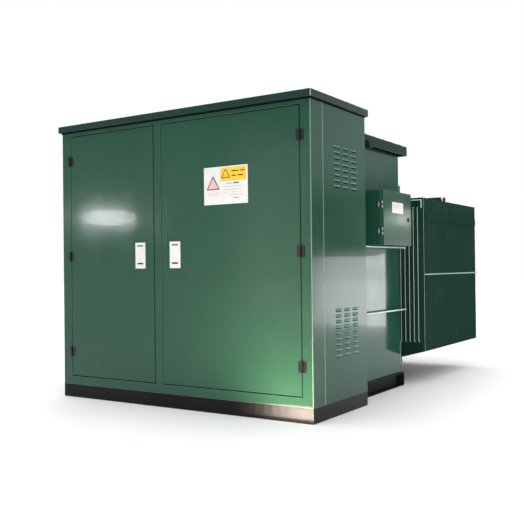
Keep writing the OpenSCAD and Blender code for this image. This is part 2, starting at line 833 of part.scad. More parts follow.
limb_xs = [-520, 0, 520];
core_y = (cab_back + tank_back) / 2 + 30;
core_z0 = skid_h + plate + 50;
limb_z0 = core_z0 + 190;
limb_z1 = limb_z0 + 900;
module core() {
  color([0.25, 0.27, 0.3]) {
    for (x = limb_xs) rod_z(x, core_y, 105, limb_z0, limb_z1);
    for (z = [core_z0, limb_z1]) {
      span([-625, core_y - 95, z], [625, core_y + 95, z + 190]);
      for (y = [core_y - 125, core_y + 95]) {
        span([-820, y, z + 20], [820, y + 30, z + 170]);
      }
    }
    for (x = [-800, 780], y = [core_y - 120, core_y + 100]) {
      span([x, y, limb_z0 - 20], [x + 20, y + 20, limb_z1 + 20]);
    }
    span([-680, core_y - 125, skid_h + plate], [-600, core_y + 125, core_z0]);
    span([600, core_y - 125, skid_h + plate], [680, core_y + 125, core_z0]);
  }
}

// Low-voltage and high-voltage coils on each limb, with an oil duct between them.
module windings() {
  color(copper)
  for (x = limb_xs, r = [[110, 160], [178, 245]]) {
    difference() {
      rod_z(x, core_y, r[1], limb_z0 + 30, limb_z1 - 30);
      rod_z(x, core_y, r[0], limb_z0, limb_z1);
    }
  }
}

// Bodies of the load-break switch and the tap changer, behind the front wall.
module tank_switches() {
  wall = cab_back + plate;
  color(steel_black)
  for (z = [switch_z, tap_z]) {
    difference() {
      union() {
        rod_y(switch_x, z, 21.8, cab_back - 30, wall + 2);
        rod_y(switch_x, z, 36, cab_back - 12, cab_back);
        rod_y(switch_x, z, 65, wall, wall + 90);
      }
      rod_y(switch_x, z, shaft_r + 0.06, cab_back - 31, wall + 60);
    }
  }
}

// ---------- Equipment in the cabinet ----------

// A bushing along -Y from the tank wall: a flange, a tapered well or shed stack, and a stud.
module hv_bushings() {
  color([0.35, 0.16, 0.1])
  for (x = hv_xs) {
    translate([x, cab_back, bushing_z]) rotate([90, 0, 0])
      rotate_extrude()
        polygon([[0, -110], [30, -110], [40, -20], [54.8, -15], [54.8, 0], [78, 0], [78, 14], [58, 18],
          [52, 60], [58, 66], [58, 78], [46, 84], [36, 150], [30, 156], [0, 156]]);
  }
}

// Porcelain low-voltage bushings, each with a drilled terminal spade.
module lv_bushings() {
  color([0.85, 0.84, 0.8])
  for (x = lv_xs) {
    translate([x, cab_back, bushing_z]) rotate([90, 0, 0])
      rotate_extrude()
        polygon([[0, -90], [40, -90], [52, -20], [59.8, -15], [59.8, 0], [84, 0], [84, 16], [60, 20],
          [54, 34], [66, 40], [66, 46], [50, 52], [50, 64], [62, 70], [62, 76], [46, 84], [22, 90],
          [22, 104], [0, 104]]);
    difference() {
      span([x - 45, spade_y - 45, bushing_z - 8], [x + 45, cab_back - 100, bushing_z + 8]);
      for (dx = [-1, 1], dy = [-1, 1]) {
        rod_z(x + dx * spade_pitch / 2, spade_y + dy * spade_pitch / 2, 7, bushing_z - 9, bushing_z + 9);
      }
    }
  }
}

// Housings that the fuse holders slide into.
module fuse_wells() {
  color(rubber)
  for (x = fuse_xs) {
    difference() {
      union() {
        rod_y(x, fuse_z, 29.8, cab_back - 60, cab_back + 240);
        rod_y(x, fuse_z, 48, cab_back - 14, cab_back);
        rod_y(x, fuse_z, 34, cab_back - 60, cab_back - 44);
      }
      rod_y(x, fuse_z, fuse_r + 1, cab_back - 61, cab_back + 232);
    }
  }
}

// One fuse holder: a rod with a cap and a hook-stick eye; it pulls out forwards.
module fuse_holder(x) {
  color(white) {
    rod_y(x, fuse_z, fuse_r, cab_back - 61, cab_back + 215);
    rod_y(x, fuse_z, 27, cab_back - 84, cab_back - 61);
    difference() {
      translate([x - 6, cab_back - 104, fuse_z]) rotate([0, 90, 0]) cylinder(h = 12, r = 24);
      translate([x - 7, cab_back - 104, fuse_z]) rotate([0, 90, 0]) cylinder(h = 14, r = 13);
    }
  }
}

module fuse_holder_a() {
  fuse_holder(fuse_xs[0]);
}

module fuse_holder_b() {
  fuse_holder(fuse_xs[1]);
}

module fuse_holder_c() {
  fuse_holder(fuse_xs[2]);
}

// A shaft with a hub and a hook-stick bar across it.
module switch_handle(z, bar_l, eyes) {
  y = cab_back - 30;
  difference() {
    union() {
      rod_y(switch_x, z, shaft_r, y - 1, cab_back + 50);
      rod_y(switch_x, z, 24, y - 26, y - 1);
      span([switch_x - bar_l / 2, y - 22, z - 9], [switch_x + bar_l / 2, y - 10, z + 9]);
      for (s = eyes) rod_y(switch_x + s * bar_l / 2, z, 18, y - 22, y - 10);
    }
    for (s = eyes) rod_y(switch_x + s * bar_l / 2, z, 10, y - 23, y - 9);
  }
}

module load_break_handle() {
  color(zinc) switch_handle(switch_z, 170, [-1, 1]);
}

module tap_changer_handle() {
  color(zinc) switch_handle(tap_z, 110, [1]);
}

// Thermometer case, oil level glass and pressure relief body.
module gauges() {
  color(steel_black) {
    difference() {
      union() {
        rod_y(gauge_x, gauge_z, gauge_r, cab_back - 52, cab_back - 12);
        rod_y(gauge_x, gauge_z, 13.8, cab_back - 12, cab_back + 160);
        rod_y(gauge_x, gauge_z, 30, cab_back - 12, cab_back);
      }
      rod_y(gauge_x, gauge_z, gauge_r - 5, cab_back - 53, cab_back - 40);
    }
    difference() {
      span([-470, cab_back - 26, 1470], [-410, cab_back, 1670]);
      span([-452, cab_back - 27, 1500], [-428, cab_back - 16, 1640]);
    }
    difference() {
      union() {
        rod_y(relief_x, relief_z, 19.8, cab_back - 46, cab_back + 30);
        rod_y(relief_x, relief_z, 30, cab_back - 24, cab_back);
      }
      rod_y(relief_x, relief_z, 5.06, cab_back - 47, cab_back + 20);
    }
  }
}

module thermometer_pointer() {
  color(white) {
    rod_y(gauge_x, gauge_z, 5, cab_back - 46, cab_back - 40);
    span([gauge_x - 2, cab_back - 45, gauge_z - 12], [gauge_x + 2, cab_back - 43, gauge_z + 46]);
  }
}

// Pull ring of the pressure relief valve: a stem in the valve body and an open ring.
module relief_ring() {
  color(copper) {
    rod_y(relief_x, relief_z, 5, cab_back - 70, cab_back + 10);
    difference() {
      translate([relief_x - 3, cab_back - 84, relief_z]) rotate([0, 90, 0]) cylinder(h = 6, r = 20);
      translate([relief_x - 4, cab_back - 84, relief_z]) rotate([0, 90, 0]) cylinder(h = 8, r = 14);
    }
  }
}

// Valve body with a side outlet that is plugged.
module drain_valve() {
  color(copper)
  difference() {
    union() {
      rod_y(valve_x, valve_z, 19.8, cab_back - 110, cab_back + 30);
      rod_y(valve_x, valve_z, 34, cab_back - 14, cab_back);
      rod_y(valve_x, valve_z, 30, cab_back - 110, cab_back - 50);
      rod_x(cab_back - 80, valve_z, 18, valve_x, valve_x + 60);
      translate([valve_x + 60, cab_back - 80, valve_z]) rotate([0, 90, 0]) cylinder(h = 22, r = 22, $fn = 6);
    }
    rod_y(valve_x, valve_z, 7.06, cab_back - 111, cab_back - 60);
  }
}

module drain_handwheel() {
  y = cab_back - 150;
  color([0.6, 0.1, 0.08]) {
    rod_y(valve_x, valve_z, 7, y - 6, cab_back - 65);
    rod_y(valve_x, valve_z, 13, y - 3, y + 14);
    difference() {
      rod_y(valve_x, valve_z, 52, y, y + 12);
      rod_y(valve_x, valve_z, 42, y - 1, y + 13);
    }
    for (a = [30 : 90 : 300]) {
      translate([valve_x, y + 2, valve_z]) rotate([0, a, 0]) translate([6, 0, -5]) cube([40, 8, 10]);
    }
  }
}

// Copper earth bar on stand-offs, along the foot of the tank's front wall.
module ground_bar() {
  z = 260;
  y = cab_back - sheet;
  color(copper)
  difference() {
    union() {
      span([100, y - 36, z - 20], [900, y - 28, z + 20]);
      for (x = [160, 500, 840]) rod_y(x, z, 12, y - 28, y + sheet);
    }
    for (i = [0 : 9]) rod_y(140 + i * 80, z, 6, y - 37, y - 27);
  }
}

plinth_frame();
front_frame();
side_panel_left();
side_panel_right();
roof();
back_flange();
compartment_barrier();
floor_plates();
cable_glands();
door_gaskets();
frame_hinges();
tank_shell();
tank_stiffeners();
tank_lid();
lid_gasket();
lid_bolts();
tank_skid();
lifting_lugs();
radiator_bank_1();
radiator_bank_2();
radiator_bank_3();
radiator_bank_4();
radiator_tie_bars();
bleed_plugs();
control_box();
control_box_hinges();
control_gear();
core();
windings();
tank_switches();
hv_bushings();
lv_bushings();
fuse_wells();
gauges();
drain_valve();
ground_bar();
door_left();
left_door_hinges();
left_lock_plate();
left_handle();
left_upper_rod();
left_lower_rod();
door_right();
right_door_hinges();
right_lock_plate();
right_handle();
right_upper_rod();
right_lower_rod();
sign_plate();
control_box_door();
control_box_lock();
control_label();
load_break_handle();
tap_changer_handle();
fuse_holder_a();
fuse_holder_b();
fuse_holder_c();
thermometer_pointer();
drain_handwheel();
relief_ring();
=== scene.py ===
import json
import math

import bmesh
import bpy
from mathutils import Matrix, Vector


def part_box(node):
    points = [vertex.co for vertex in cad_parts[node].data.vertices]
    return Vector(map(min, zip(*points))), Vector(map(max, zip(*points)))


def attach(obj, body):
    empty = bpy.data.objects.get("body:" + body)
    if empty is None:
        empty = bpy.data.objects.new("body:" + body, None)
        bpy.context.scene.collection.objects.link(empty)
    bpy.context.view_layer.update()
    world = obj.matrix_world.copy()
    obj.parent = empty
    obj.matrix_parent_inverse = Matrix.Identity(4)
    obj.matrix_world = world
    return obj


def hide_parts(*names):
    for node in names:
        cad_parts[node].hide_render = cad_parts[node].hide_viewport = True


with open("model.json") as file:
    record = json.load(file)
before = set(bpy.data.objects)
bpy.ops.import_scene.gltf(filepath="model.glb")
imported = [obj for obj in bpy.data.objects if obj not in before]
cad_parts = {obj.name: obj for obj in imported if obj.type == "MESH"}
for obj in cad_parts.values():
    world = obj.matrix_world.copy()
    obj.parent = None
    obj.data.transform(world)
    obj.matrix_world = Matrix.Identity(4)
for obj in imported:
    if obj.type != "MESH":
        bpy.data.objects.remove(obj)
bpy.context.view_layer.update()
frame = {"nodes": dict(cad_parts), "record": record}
NODES = frame["nodes"]
RECORD = frame["record"]
SLOT_OF = {p["node"]: p["material_slot"] for p in RECORD["subparts"]}
BODY_OF = {n: b for b, ns in RECORD["behaviour"]["bodies"].items() for n in ns}
scene = bpy.context.scene
MM = 0.001

# ---------------------------------------------------------------- materials


def new_material(name):
    mat = bpy.data.materials.new(name)
    mat.use_nodes = True
    return mat, mat.node_tree, mat.node_tree.nodes["Principled BSDF"]


def noise(tree, scale, detail=3.0, rough=0.5, stretch=(1, 1, 1)):
    """A noise value in the piece's own coordinates."""
    co = tree.nodes.new("ShaderNodeTexCoord")
    mp = tree.nodes.new("ShaderNodeMapping")
    mp.inputs["Scale"].default_value = stretch
    tree.links.new(co.outputs["Object"], mp.inputs["Vector"])
    tex = tree.nodes.new("ShaderNodeTexNoise")
    tex.inputs["Scale"].default_value = scale
    tex.inputs["Detail"].default_value = detail
    tex.inputs["Roughness"].default_value = rough
    tree.links.new(mp.outputs["Vector"], tex.inputs["Vector"])
    return tex.outputs["Fac"]


def ramp(tree, fac, stops):
    """A colour from a value. stops: (value, colour)."""
    node = tree.nodes.new("ShaderNodeValToRGB")
    els = node.color_ramp.elements
    while len(els) < len(stops):
        els.new(0.5)
    for el, (pos, col) in zip(els, stops):
        el.position = pos
        el.color = (*col, 1.0) if len(col) == 3 else col
    tree.links.new(fac, node.inputs["Fac"])
    return node.outputs["Color"]


def grey(v):
    return (v, v, v)


def maths(tree, op, a, b):
    node = tree.nodes.new("ShaderNodeMath")
    node.operation = op
    for i, v in enumerate((a, b)):
        if isinstance(v, (int, float)):
            node.inputs[i].default_value = v
        else:
            tree.links.new(v, node.inputs[i])
    return node.outputs[0]


def add_bump(tree, bsdf, layers):
    """layers: (height socket, distance in metres, strength), chained."""
    last = None
    for height, dist, strength in layers:
        b = tree.nodes.new("ShaderNodeBump")
        b.inputs["Distance"].default_value = dist
        b.inputs["Strength"].default_value = strength
        tree.links.new(height, b.inputs["Height"])
        if last is not None:
            tree.links.new(last, b.inputs["Normal"])
        last = b.outputs["Normal"]
    tree.links.new(last, bsdf.inputs["Normal"])


def shade(colour, k):
    return tuple(min(1.0, c * k) for c in colour)


def paint(name, colour, rough=0.16, wave=0.0009, wave_scale=3.2, dust=0.05, vary=0.07, coat=0.1, spec=0.24):
    """Glossy sprayed paint: slightly cloudy, with orange peel, on a slightly wavy sheet."""
    spread, peel = 0.05, 0.3
    mat, tree, bsdf = new_material(name)
    cloud = noise(tree, 1.7, 4.0, 0.6)
    base = ramp(tree, cloud, [(0.25, shade(colour, 1 - vary)), (0.75, shade(colour, 1 + vary))])
    film = noise(tree, 9.0, 6.0, 0.7, (1, 1, 0.35))
    dusty = ramp(tree, film, [(0.5, grey(0.0)), (0.85, grey(dust))])
    mix = tree.nodes.new("ShaderNodeMix")
    mix.data_type = "RGBA"
    tree.links.new(dusty, mix.inputs["Factor"])
    tree.links.new(base, mix.inputs["A"])
    mix.inputs["B"].default_value = (*[0.55 * c + 0.16 for c in colour], 1.0)
    tree.links.new(mix.outputs["Result"], bsdf.inputs["Base Color"])
    smear = noise(tree, 5.0, 5.0, 0.65)
    tree.links.new(
        ramp(tree, smear, [(0.3, grey(max(0.02, rough - spread))), (0.8, grey(rough + spread))]),
        bsdf.inputs["Roughness"])
    bsdf.inputs["Coat Weight"].default_value = coat
    bsdf.inputs["Coat Roughness"].default_value = 0.03
    bsdf.inputs["Specular IOR Level"].default_value = spec
    add_bump(tree, bsdf, [
        (noise(tree, wave_scale, 1.5, 0.4, (1, 1, 0.7)), wave * 10, 0.35),
        (noise(tree, 38.0, 1.0, 0.4), 0.0016, peel * 0.05),
        (noise(tree, 420.0, 2.0, 0.5), 0.00012, peel * 0.06)])
    return mat


def metal(name, colour, rough=0.3, spread=0.12, scale=60.0, grain=(1, 1, 1), metallic=1.0, bump=0.00012,
          tarnish=0.25):
    """Bare or plated metal with tarnish in its colour and a fine grain."""
    mat, tree, bsdf = new_material(name)
    blotch = noise(tree, 14.0, 6.0, 0.65)
    tree.links.new(
        ramp(tree, blotch, [(0.3, shade(colour, 1 - tarnish)), (0.7, colour)]), bsdf.inputs["Base Color"])
    fine = noise(tree, scale, 5.0, 0.6, grain)
    tree.links.new(
        ramp(tree, fine, [(0.3, grey(max(0.03, rough - spread))), (0.7, grey(rough + spread))]),
        bsdf.inputs["Roughness"])
    bsdf.inputs["Metallic"].default_value = metallic
    add_bump(tree, bsdf, [(fine, bump, 0.6)])
    return mat


def solid(name, colour, rough=0.5, spread=0.08, scale=90.0, bump=0.0001, coat=0.0, vary=0.1, spec=0.5):
    """Moulded, printed or cast stuff that has one colour all through."""
    mat, tree, bsdf = new_material(name)
    big = noise(tree, 11.0, 5.0, 0.6)
    tree.links.new(
        ramp(tree, big, [(0.3, shade(colour, 1 - vary)), (0.7, shade(colour, 1 + vary))]),
        bsdf.inputs["Base Color"])
    fine = noise(tree, scale, 4.0, 0.6)
    tree.links.new(
        ramp(tree, fine, [(0.3, grey(max(0.03, rough - spread))), (0.7, grey(rough + spread))]),
        bsdf.inputs["Roughness"])
    bsdf.inputs["Coat Weight"].default_value = coat
    bsdf.inputs["Specular IOR Level"].default_value = spec
    add_bump(tree, bsdf, [(fine, bump, 0.7)])
    return mat


GREEN = (0.016, 0.076, 0.046)
DEEP = (0.019, 0.054, 0.042)
M = {
    "green_paint": paint("green_gloss_paint", GREEN),
    "wall_paint": paint("green_wall_paint", GREEN, coat=0.3, spec=0.11),
    "roof_paint": paint("roof_gloss_paint", (0.012, 0.042, 0.034), rough=0.22, dust=0.03, vary=0.04,
                        spec=0.16),
    "lid_paint": paint("lid_gloss_paint", (0.012, 0.044, 0.034), rough=0.3, dust=0.03, vary=0.04, coat=0.0,
                       spec=0.05),
    "radiator_paint": paint("radiator_gloss_paint", DEEP, rough=0.2, wave=0.0003, spec=0.16),
    # the lighter bevel paints: edge wear and a painted highlight along the edges
    "edge_paint": paint("green_edge_paint", (0.11, 0.26, 0.19), rough=0.12, dust=0.05, wave=0.0001),
    # a pale green painted as a highlight on corners, rims, ribs and lug edges
    "highlight_paint": paint("pale_highlight_paint", (0.40, 0.54, 0.47), rough=0.2, wave=0.0001),
    # a paler green painted as a highlight on the frame's corner folds and the radiators' tie rods
    "fold_paint": paint("front_fold_highlight_paint", (0.19, 0.34, 0.28), rough=0.2, wave=0.0001),
    # a near-black green painted as shade: under things, in the rims round the doors and on the doors' folds
    "painted_shade": paint("dark_painted_shade", (0.003, 0.010, 0.008), rough=0.5, dust=0.05, wave=0.0, coat=0.0,
                         spec=0.15),
    # radiator paints: shade painted in the flute floors and on the first panel's face, highlights painted on
    # the flutes' shoulders and the panels' edges
    "flute_shade": paint("flute_floor_shade", (0.003, 0.013, 0.009), rough=0.4, dust=0.1, wave=0.0,
                        spec=0.2),
    "flute_highlight": paint("flute_highlight_paint", (0.50, 0.66, 0.58), rough=0.15, wave=0.0),
    "shaded_panel_face": paint("shaded_panel_face_paint", (0.008, 0.030, 0.021), rough=0.35, wave=0.0, coat=0.0,
                        spec=0.06),
    "panel_edge_highlight": paint("panel_edge_highlight_paint", (0.036, 0.10, 0.078), rough=0.4, wave=0.0, coat=0.0, spec=0.0),
    "strap_paint": paint("strap_paint", (0.012, 0.038, 0.030), rough=0.5, wave=0.0, coat=0.0, spec=0.0),
    # black strips that stand as painted shade under the roof and the tank's lid
    "shade_strip_black": solid("black_shade_strip", (0.004, 0.004, 0.004), 0.8, spec=0.1),
    "black_paint": paint("black_gloss_paint", (0.005, 0.005, 0.006), rough=0.18, dust=0.02, wave=0.0006,
                         wave_scale=6, coat=0.0, spec=0.14),
    "skid_black": paint("black_skid_paint", (0.006, 0.006, 0.007), rough=0.4, dust=0.02, wave=0.0, coat=0.0,
                        spec=0.05),
    # a lighter bevel paint for black parts: edge wear and a painted highlight
    "black_edge": paint("black_edge_paint", (0.07, 0.07, 0.07), rough=0.25, dust=0.1, wave=0.0001),
    "hinge_black": paint("hinge_black_paint", (0.010, 0.010, 0.011), rough=0.28, wave=0.0, coat=0.3),
    "white_enamel": paint("white_enamel", (0.70, 0.76, 0.76), rough=0.22, dust=0.03, wave=0.0001,
                          vary=0.02),
    # a lighter bevel paint for white parts: edge wear and a painted highlight
    "white_edge": paint("white_enamel_edge", (0.80, 0.86, 0.84), rough=0.2, dust=0.0, wave=0.0, vary=0.01),
    "rubber": solid("black_rubber", (0.018, 0.018, 0.018), 0.7),
    "zinc": metal("zinc_plate", (0.62, 0.62, 0.58), 0.34),
    "chrome": metal("chrome", (0.82, 0.83, 0.84), 0.1, 0.05, 200.0, bump=0.00003, tarnish=0.06),
    "core_steel": metal("core_steel", (0.20, 0.21, 0.22), 0.55, 0.1, 900.0, (1, 1, 0.02), metallic=0.7),
    "copper_coil": metal("enamelled_copper", (0.46, 0.22, 0.10), 0.35, 0.1, 260.0, (0.05, 0.05, 1),
                         metallic=0.8),
    "lock_steel": metal("dark_lock_steel", (0.20, 0.22, 0.21), 0.3, 0.08, 150.0),
    # an off-white, not metallic: a painted highlight on the control box's hinge leaves
    "hinge_highlight_white": metal("hinge_highlight_white", (0.78, 0.80, 0.79), 0.42, 0.08, 150.0, metallic=0.0, tarnish=0.1),
    "brass": metal("brass", (0.62, 0.46, 0.2), 0.28),
    "copper_bar": metal("bare_copper", (0.66, 0.34, 0.2), 0.3, 0.12, 120.0, (0.05, 1, 1)),
    "red_paint": paint("red_paint", (0.42, 0.03, 0.025), rough=0.25, wave=0.0),
    "epoxy": solid("red_brown_epoxy", (0.17, 0.045, 0.025), 0.22, 0.06, coat=0.4),
    "porcelain": solid("glazed_porcelain", (0.62, 0.60, 0.54), 0.12, 0.04, 12.0, coat=0.7, vary=0.04),
    "grey_plastic": solid("grey_plastic", (0.25, 0.26, 0.27), 0.45),
    "black_plastic": solid("black_plastic", (0.022, 0.022, 0.023), 0.4),
    "fibreglass": solid("fibreglass", (0.62, 0.55, 0.38), 0.35, 0.08, 60.0, coat=0.3),
    "sign": solid("enamelled_plate", (0.69, 0.75, 0.76), 0.25, 0.05, 30.0, 0.00003, coat=0.3, vary=0.015),
    "label": solid("label_film", (0.8, 0.82, 0.8), 0.3, 0.05, 30.0, 0.00003, coat=0.3, vary=0.03),
    "ink_grey": solid("grey_print", (0.40, 0.42, 0.43), 0.4, 0.05),
    "ink_red": solid("red_print", (0.22, 0.035, 0.06), 0.35, 0.05),
    "ink_yellow": solid("yellow_print", (0.86, 0.56, 0.03), 0.35, 0.05),
    "ink_dark": solid("dark_print", (0.035, 0.028, 0.022), 0.5, 0.05, spec=0.1),
    "ink_pink": solid("pale_red_print", (0.70, 0.46, 0.48), 0.4, 0.05),
}
M["glass"], gtree, gb = new_material("gauge_glass")
gb.inputs["Base Color"].default_value = (0.9, 0.95, 0.93, 1)
gb.inputs["Roughness"].default_value = 0.03
gb.inputs["Transmission Weight"].default_value = 0.85
gb.inputs["IOR"].default_value = 1.45
gb.inputs["Alpha"].default_value = 0.35
add_bump(gtree, gb, [(noise(gtree, 30.0), 0.00005, 0.3)])
# slot: the lighter paint on a bevel of that slot, partly wear and partly a painted highlight along the edge.
# A slot that isn't here keeps its own.
EDGE = {"green_paint": "edge_paint", "wall_paint": "edge_paint", "roof_paint": "edge_paint",
        "lid_paint": "edge_paint", "black_paint": "black_edge", "white_enamel": "white_edge"}

# ---------------------------------------------------------------- mesh helpers


def cad_bmesh(node):
    """A copy of a CAD node's mesh, welded and with its flat faces merged."""
    bm = bmesh.new()
    bm.from_mesh(NODES[node].data)
    bmesh.ops.remove_doubles(bm, verts=bm.verts, dist=2e-6)
    bmesh.ops.dissolve_limit(bm, angle_limit=math.radians(0.1), verts=bm.verts, edges=bm.edges)
    return bm


def upright(e):
    d = e.verts[0].co - e.verts[1].co
    return abs(d.z) > 0.99 * d.length


def sharp_edges(bm, width, angle=38.0, where=None):
    """The convex edges sharper than an angle in degrees, and long enough for a bevel of a width."""
    out = []
    for e in bm.edges:
        if len(e.link_faces) != 2 or e.calc_length() < 2.2 * width:
            continue
        if not e.is_convex or e.calc_face_angle(0.0) < math.radians(angle):
            continue
        if where is None or where(e):
            out.append(e)
    return out


def bevel(bm, edges, width, segments=2, material=1):
    if edges:
        bmesh.ops.bevel(bm, geom=edges, offset=width, offset_type="OFFSET", segments=segments, profile=0.5,
                        affect="EDGES", clamp_overlap=False, material=material)


def slot_materials(slot):
    return [M[slot], M[EDGE.get(slot, slot)]]


def make(name, bm, body, slot, mats=None, replaces=(), smooth=40.0):
    """Turns a bmesh into a piece that rides on a body and stands for the CAD nodes it replaces."""
    me = bpy.data.meshes.new(name)
    bmesh.ops.recalc_face_normals(bm, faces=bm.faces)
    bm.to_mesh(me)
    bm.free()
    ob = bpy.data.objects.new(name, me)
    scene.collection.objects.link(ob)
    for m in (mats or slot_materials(slot)):
        me.materials.append(m)
    me.shade_smooth()
    me.set_sharp_from_angle(angle=math.radians(smooth))
    wn = ob.modifiers.new("normals", "WEIGHTED_NORMAL")
    wn.keep_sharp = True
    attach(ob, body)
    if replaces:
        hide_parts(*replaces)
    return ob


def box_into(bm, lo, hi, material=0):
    c = [(a + b) / 2 for a, b in zip(lo, hi)]
    s = [b - a for a, b in zip(lo, hi)]
    r = bmesh.ops.create_cube(bm, size=1.0, matrix=Matrix.Translation(c) @ Matrix.Diagonal((*s, 1.0)))
    for f in {f for v in r["verts"] for f in v.link_faces}:
        f.material_index = material


def rings_into(bm, place, profile, segments, material):
    """Rings along Z, moved by place. profile: (distance, radius), where a radius of zero is a point."""
    rings = []
    for along, r in profile:
        if r < 1e-7:
            rings.append([bm.verts.new(place @ Vector((0, 0, along)))])
        else:
            rings.append([
                bm.verts.new(place @ Vector((r * math.cos(t), r * math.sin(t), along)))
                for t in (2 * math.pi * k / segments for k in range(segments))])
    for a, b in zip(rings, rings[1:]):
        for k in range(segments):
            n = (k + 1) % segments
            if len(a) == 1:
                f = bm.faces.new((a[0], b[n], b[k]))
            elif len(b) == 1:
                f = bm.faces.new((a[k], a[n], b[0]))
            else:
                f = bm.faces.new((a[k], a[n], b[n], b[k]))
            f.material_index = material
    return rings


def lathe_into(bm, profile, centre, segments=40, material=0):
    """A turned shape whose axis runs through centre along Y."""
    turn = Matrix.Rotation(math.radians(-90), 4, "X")
    rings_into(bm, Matrix.Translation(centre) @ turn, profile, segments, material)


def towards(a, b):
    """The transform that puts Z on the way from a to b."""
    return Matrix.Translation(a) @ (b - a).to_track_quat("Z", "Y").to_matrix().to_4x4()


def tube_into(bm, a, b, r, segments):
    """A round bar from a to b with softened ends."""
    a, b = Vector(a), Vector(b)
    h, cut = (b - a).length, r * 0.15
    profile = [(0, 0), (0, r * 0.85), (cut, r), (h - cut, r), (h, r * 0.85), (h, 0)]
    rings_into(bm, towards(a, b), profile, segments, 0)


# ---------------------------------------------------------------- softened copies of CAD nodes

# node: (rounding in mm, steps). Folded sheet has the larger radii.
ROUND = {
    "plinth_frame": (2.5, 2), "roof": (3.5, 3), "back_flange": (1.0, 2), "compartment_barrier": (1.0, 2),
    "floor_plates": (0.8, 2), "frame_hinges": (0.9, 2), "tank_stiffeners": (2.0, 2),
    "tank_shell": (2.5, 2), "tank_lid": (1.2, 2), "tank_skid": (1.6, 2), "lifting_lugs": (2.5, 2),
    "control_box": (1.0, 2), "control_box_hinges": (0.8, 2), "control_gear": (1.0, 2),
    "left_door_hinges": (0.9, 2), "right_door_hinges": (0.9, 2),
    "left_handle": (1.6, 3), "right_handle": (1.6, 3),
    "left_lock_plate": (1.2, 3), "right_lock_plate": (1.2, 3), "lid_bolts": (1.2, 2),
    "load_break_handle": (1.0, 2), "tap_changer_handle": (1.0, 2), "drain_valve": (1.0, 2),
    "drain_handwheel": (1.2, 2), "fuse_wells": (1.0, 2), "ground_bar": (0.8, 2), "tank_switches": (1.5, 2),
    "radiator_tie_bars": (1.0, 2), "bleed_plugs": (1.2, 2), "core": (3.0, 2), "control_box_door": (1.0, 2),
}
# nodes whose finish differs from their slot's
LOOK = {"tank_shell": "wall_paint", "tank_lid": "lid_paint", "lifting_lugs": "lid_paint",
        "radiator_tie_bars": "strap_paint", "control_box_hinges": "hinge_black",
        "bleed_plugs": "hinge_black", "tank_skid": "skid_black"}
# nodes whose downward faces are painted dark as shade
DARK_BELOW = ("roof", "tank_lid", "tank_shell", "tank_stiffeners", "control_box")
STRAP_Z = 1.2   # the radiators' straps are above this height, their rods below
# material indices of the softened copies: edge wear with a painted highlight, painted shade, a pale painted
# highlight, and a paler painted highlight for rods
WORN_AND_LIT, UNDER_SHADE, HIGHLIGHT, ROD_HIGHLIGHT = 1, 2, 3, 4

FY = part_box("door_left")[0].y   # the doors' front face
for node, (mm, steps) in ROUND.items():
    bm = cad_bmesh(node)
    w = mm * MM
    # the roof's upright corners and the lifting lugs' edges get the pale paint as a painted highlight
    if node == "roof":
        bevel(bm, sharp_edges(bm, w, where=upright), w, steps, HIGHLIGHT)
        bevel(bm, sharp_edges(bm, w, angle=60.0), w * 0.5, steps, 0)
    else:
        bevel(bm, sharp_edges(bm, w), w, steps, HIGHLIGHT if node == "lifting_lugs" else WORN_AND_LIT)
    bm.normal_update()
    # downward faces are painted as shade; the tie bars' rods and the stiffeners' sides are painted pale as
    # highlights
    for f in bm.faces:
        if node in DARK_BELOW and f.normal.z < -0.9:
            f.material_index = UNDER_SHADE
        elif node == "radiator_tie_bars" and f.calc_center_median().z < STRAP_Z:
            f.material_index = ROD_HIGHLIGHT
        elif node == "tank_stiffeners" and abs(f.normal.z) < 0.5:
            f.material_index = HIGHLIGHT
    make(node + "_shape", bm, BODY_OF[node], SLOT_OF[node], replaces=[node],
         mats=slot_materials(LOOK.get(node, SLOT_OF[node]))
         + [M["painted_shade"], M["highlight_paint"], M["fold_paint"]])

# ---------------------------------------------------------------- front frame and doors


# after the slot's own two: a paler paint for a painted highlight on the frame's corner folds, then a dark
# paint for painted shade
FOLD_HIGHLIGHT, DARK = 2, 3   # material indices, after the slot's own two
HALF_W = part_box("front_frame")[1].x
RIGHT_DOOR_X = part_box("door_right")[0].x


def folded(node, big, small, steps, where, fold, small_edge_index, tone):
    """Rounds the folds of a sheet part with a big radius and its other edges with a small one, in mm; each
    bevel takes its given material index, and tone then repaints faces by place, which is where painted shade
    goes.
    """
    bm = cad_bmesh(node)
    bevel(bm, sharp_edges(bm, big * MM, where=where), big * MM, steps, fold)
    bevel(bm, sharp_edges(bm, small * MM, angle=60.0), small * MM, 2, small_edge_index)
    for f in bm.faces:
        f.material_index = tone(f.calc_center_median(), f.material_index)
    make(node + "_shape", bm, BODY_OF[node], SLOT_OF[node], replaces=[node],
         mats=slot_materials(SLOT_OF[node]) + [M["fold_paint"], M["painted_shade"]])


def middle(e):
    return (e.verts[0].co + e.verts[1].co) / 2


def frame_corner(e):
    m = middle(e)
    return upright(e) and abs(abs(m.x) - HALF_W) < 1e-4 and abs(m.y - FY) < 1e-4


def frame_tone(c, index):
    """Painted shade on the inner rims, so that the gaps round the doors show dark, but not by the right
    door's inner edge.
    """
    rim = FY + 0.004 < c.y < FY + 0.034 and abs(c.x) < HALF_W - 0.02
    return DARK if rim and abs(c.x - RIGHT_DOOR_X) > 0.008 else index


